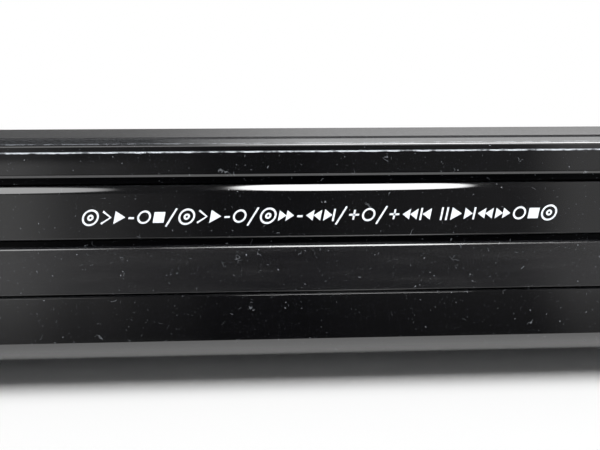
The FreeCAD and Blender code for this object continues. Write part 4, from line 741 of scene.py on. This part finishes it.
def line_faces(points):
    """A line as a chain of narrow four-sided faces with mitred joints."""
    closed = math.dist(points[0], points[-1]) < CLOSED
    count = len(points)
    sides = []
    for i, (x, y) in enumerate(points):
        before = points[i - 1] if i else (points[-2] if closed else None)
        after = points[i + 1] if i < count - 1 else (points[1] if closed else None)
        pairs = ((before, (x, y)), ((x, y), after))
        parts = [(b[0] - a[0], b[1] - a[1]) for a, b in pairs if a and b]
        dx = sum(part[0] / math.hypot(*part) for part in parts)
        dy = sum(part[1] / math.hypot(*part) for part in parts)
        scale = STROKE / 2 / math.hypot(dx, dy)
        sides.append(((x - dy * scale, y + dx * scale), (x + dy * scale, y - dx * scale)))
    return [[a[0], a[1], b[1], b[0]] for a, b in zip(sides, sides[1:])]


def symbol_faces(name):
    """A symbol's filled outlines and the faces of its lines."""
    _, fills, lines = SYMBOLS[name]
    return [*fills, *(face for line in lines for face in line_faces(line))]


def ink_white():
    """White ink, a little uneven."""
    shader = Shader("print_white", roughness=0.5)
    tone = shader.between(shader.noise(1800, 3), 0.3, 0.7)
    shader.colour(shader.blend(tone, INK_DARK, INK_LIGHT))
    return shader.material


INK = ink_white()


def printed(name, faces, depth, body):
    """White ink, with its faces given by X and Z, a little proud of the surface."""
    ink = bmesh.new()
    for corners in faces:
        face = ink.faces.new([ink.verts.new((x, depth - PRINT_THICK, z)) for x, z in corners])
        face.normal_update()
        if face.normal.y > 0:
            face.normal_flip()
    mesh = bpy.data.meshes.new(name)
    ink.to_mesh(mesh)
    ink.free()
    mesh.materials.append(INK)
    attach(linked(name, mesh), body)


def add_print():
    """A slanted row of symbols on the tray front, and one on each key."""
    unit = PRINT_HEIGHT / 2
    widths = [SYMBOLS[name][0] for name in ROW]
    between = ((PRINT_RIGHT - PRINT_LEFT) / unit - sum(widths)) / (len(ROW) - 1)
    faces = []
    x = 0.0
    for name, width in zip(ROW, widths):
        faces += [
            [(PRINT_LEFT + (x + px + SLANT * py) * unit, PRINT_LOW + py * unit) for px, py in face]
            for face in symbol_faces(name)
        ]
        x += width + between
    printed("tray_print", faces, FACE, "tray")
    for key, name in KEYS.items():
        low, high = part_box(key)
        middle = Vector((low[0] + high[0], low[2] + high[2])) / 2
        half = SYMBOLS[name][0] / 2
        small = KEY_SYMBOL / 2
        faces = [
            [(middle.x + (px - half) * small, middle.y + (py - 1) * small) for px, py in face]
            for face in symbol_faces(name)
        ]
        printed(f"{key}_print", faces, low[1] + KEY_DISH, key)


# Room: a white table with painted light in front of the player, a plain world and cards that only
# show in gloss

FLOOR_HALF = 3.0
FLOOR_TONES = ((0.91, 0.91, 0.91), (0.93, 0.93, 0.93))
FADE_START = 0.28
FADE_END = 0.75
# Painted light under the front's edge, seen directly and in gloss, that lifts its shadow on the
# table: from and to how far behind the face, and its shares there
PAINTED_LIGHT_AHEAD = (FACE + 0.002, FACE + 0.017, 0.8, 0)
# How far across the painted light reaches: full to 5 cm short of the ends, gone 15 cm past them
PAINTED_LIGHT_ACROSS = (HALF - 0.05, HALF + 0.15, 1, 0)
WORLD_LIGHT = 0.6
CARD_LOW = 0.0005
CARD_START = 0.044
CARD_AHEAD = 0.9
CARD_BACK = 0.4
CARD_TOP = 1.2
# The point of the front from which the room's directions are taken
CARD_MIDDLE = 0.0348
# How light the room ahead looks in the gloss, from left to right: place, then tone
ROOM_TONES = (
    (-0.30, 0.75),
    (-0.203, 0.55),
    (-0.12, 0.22),
    (-0.055, 0.11),
    (0.002, 0.045),
    (0.068, 0.04),
    (0.145, 0.07),
    (0.213, 0.09),
    (0.281, 0.11),
    (0.35, 0.40),
)
RAMP_LOW = -0.4
RAMP_HIGH = 0.4
# How the room's tone changes with distance, close to the player and far off on the left
NEAR = (0.05, 0.13, 0.38, 1)
FAR = (0.55, 0.85)
FAR_LEFT = (-0.13, 0.0, 0.62, 0)
# Lamps: middle across and up, reach across and up, and strength
LAMPS = (((0.125, 0.72), (0.118, 0.62), 11.5), ((-0.27, 0.62), (0.176, 0.56), 3.4))
LAMP_POWER = 2.6
LAMP_CORE = 0.72
# Cards behind: their range across and up, and how their light changes from left to right
BACK_CARD = ((-FLOOR_HALF, 0.1), (0.16, CARD_TOP), 0.9, (-0.10, 0.10, 0.06, 1.0))
BACK_LAMP = ((-0.05, 0.9), (0.75, 1.06), 0.8, (-0.05, 0.14, 0, 7.5))
LIGHT_PLACE = Vector((0.04, -0.47, 0.36))
LIGHT_AIM = Vector((0.02, -0.1, 0.0))
LIGHT_SIZE = (0.5, 0.34)
LIGHT_POWER = 2.4


def plane(name, corners, material):
    """A flat piece of the room."""
    mesh = bpy.data.meshes.new(name)
    mesh.from_pydata(corners, [], [(0, 1, 2, 3)])
    item = linked(name, mesh)
    mesh.materials.append(material)
    return item


def card(name, x, low, high, material):
    """A photographer's card: it shows in gloss, and neither blocks the view nor lights anything."""
    corners = [(x[0], *low), (x[1], *low), (x[1], *high), (x[0], *high)]
    item = plane(name, corners, material)
    item.visible_camera = False
    item.visible_diffuse = False
    item.visible_shadow = False
    item.visible_transmission = False


def lamp_shape(shader, across, rise, middle, reach, strength):
    """A lamp's soft-edged oval, by its place across and its rise in radians."""
    dx = shader.math("DIVIDE", shader.math("SUBTRACT", across, middle[0]), reach[0])
    dy = shader.math("DIVIDE", shader.math("SUBTRACT", rise, middle[1]), reach[1])
    sums = [shader.math("POWER", shader.math("ABSOLUTE", part), LAMP_POWER) for part in (dx, dy)]
    return shader.between(shader.math("ADD", *sums), LAMP_CORE, 1.0, strength, 0)


def distance(shader, first, second):
    """The length of the line whose parts these are."""
    squares = [shader.math("MULTIPLY", part, part) for part in (first, second)]
    return shader.math("SQRT", shader.math("ADD", *squares))


def room_tone(shader, across):
    """How light the room is at each place from left to right."""
    ramp = shader.new("ValToRGB")
    shader.link(shader.between(across, RAMP_LOW, RAMP_HIGH), ramp.inputs["Fac"])
    ramp.color_ramp.interpolation = "EASE"
    stops = ramp.color_ramp.elements
    while len(stops) > 1:
        stops.remove(stops[-1])
    for i, (place, tone) in enumerate(ROOM_TONES):
        where = (place - RAMP_LOW) / (RAMP_HIGH - RAMP_LOW)
        stop = stops.new(where) if i else stops[0]
        stop.position = where
        stop.color = (tone, tone, tone, 1)
    grey = shader.new("RGBToBW")
    shader.link(ramp.outputs["Color"], grey.inputs["Color"])
    return grey.outputs["Val"]


def room_card():
    """A room that is dark ahead and lighter at both sides, with lamps above the front."""
    shader = Shader("room_card")
    axes = shader.axes()
    ahead = shader.math("SUBTRACT", FACE, axes["Y"])
    above = shader.math("SUBTRACT", axes["Z"], CARD_MIDDLE)
    path = distance(shader, ahead, above)
    sideways = shader.math("ADD", axes["X"], CAMERA_LEFT)
    across = shader.math("DIVIDE", sideways, shader.math("ADD", path, CAMERA_AHEAD))
    rise = shader.math("ARCTAN2", above, ahead)
    far_left = shader.between(across, *FAR_LEFT)
    far = shader.math("MULTIPLY", shader.between(path, *FAR), far_left)
    share = shader.math("SUBTRACT", shader.between(path, *NEAR), far)
    glow = shader.math("MULTIPLY", room_tone(shader, across), share)
    for middle, reach, strength in LAMPS:
        lamp = lamp_shape(shader, across, rise, middle, reach, strength)
        glow = shader.math("ADD", glow, lamp)
    return shader.glowing(glow)


def pale_floor():
    """A dull white table, clear from below, that fades into the white background, with painted
    light that lifts its shadow in front of and just under the front's edge.
    """
    shader = Shader("floor", roughness=0.9)
    tone = shader.between(shader.noise(40, 3), 0.3, 0.7)
    shader.colour(shader.blend(tone, *FLOOR_TONES))
    axes = shader.axes()
    away = shader.between(distance(shader, axes["X"], axes["Y"]), FADE_START, FADE_END)
    # Painted light: white, seen directly and in gloss, laid over the table in front of the front's
    # edge, lifting the object's shadow there
    ahead = shader.between(axes["Y"], *PAINTED_LIGHT_AHEAD)
    painted_light_span = shader.between(shader.math("ABSOLUTE", axes["X"]), *PAINTED_LIGHT_ACROSS)
    backdrop_and_painted_light = shader.math("MAXIMUM", away, shader.math("MULTIPLY", ahead, painted_light_span))
    seen = shader.math("MULTIPLY", backdrop_and_painted_light, seen_rays(shader.tree))
    white = shader.emission().outputs["Emission"]
    table = shader.mixed(seen, shader.surface.outputs["BSDF"], white)
    below = shader.new("NewGeometry").outputs["Backfacing"]
    clear = shader.new("BsdfTransparent").outputs["BSDF"]
    return shader.shown(shader.mixed(below, table, clear))


def add_room():
    """The table, the room ahead and above, and a dim card and a strip of light behind."""
    half = FLOOR_HALF
    corners = [(-half, -half, 0), (half, -half, 0), (half, half, 0), (-half, half, 0)]
    plane("floor", corners, pale_floor())
    room = room_card()
    start, end = FACE - CARD_START, FACE - CARD_AHEAD
    for name, low, high in (
        ("floor_card", (end, CARD_LOW), (start, CARD_LOW)),
        ("front_card", (end, CARD_LOW), (end, CARD_TOP)),
        ("ceiling_card", (end, CARD_TOP), (CARD_BACK, CARD_TOP)),
    ):
        card(name, (-half, half), low, high, room)
    for name, (x, z, y, light) in (("back_card", BACK_CARD), ("back_lamp", BACK_LAMP)):
        shader = Shader(name)
        material = shader.glowing(shader.between(shader.axes()["X"], *light))
        card(name, x, (y, z[0]), (y, z[1]), material)


def add_world():
    """Even light from all round, which looks plain white where it is seen."""
    world = bpy.data.worlds.new("studio")
    scene.world = world
    world.use_nodes = True
    tree = world.node_tree
    light = tree.nodes["Background"]
    white = tree.nodes.new("ShaderNodeBackground")
    for background, strength in ((light, WORLD_LIGHT), (white, 1.0)):
        background.inputs["Color"].default_value = WHITE
        background.inputs["Strength"].default_value = strength
    mix = tree.nodes.new("ShaderNodeMixShader")
    tree.links.new(seen_rays(tree), mix.inputs["Fac"])
    tree.links.new(light.outputs["Background"], mix.inputs[1])
    tree.links.new(white.outputs["Background"], mix.inputs[2])
    tree.links.new(mix.outputs["Shader"], tree.nodes["World Output"].inputs["Surface"])


def add_light():
    """One soft lamp ahead and above, which doesn't show in gloss."""
    data = bpy.data.lights.new("main_light", "AREA")
    data.shape = "ELLIPSE"
    data.size, data.size_y = LIGHT_SIZE
    data.energy = LIGHT_POWER
    item = linked("main_light", data)
    item.location = LIGHT_PLACE
    item.rotation_euler = (LIGHT_AIM - LIGHT_PLACE).to_track_quat("-Z", "Y").to_euler()
    item.visible_glossy = False


# The object

for item in nodes.values():
    dress(item)
soften(nodes["top_cover"], COVER_EDGE)

add_front()
add_bands()
add_print()
add_camera()
add_room()
add_world()
add_light()
scene.view_settings.view_transform = "Standard"
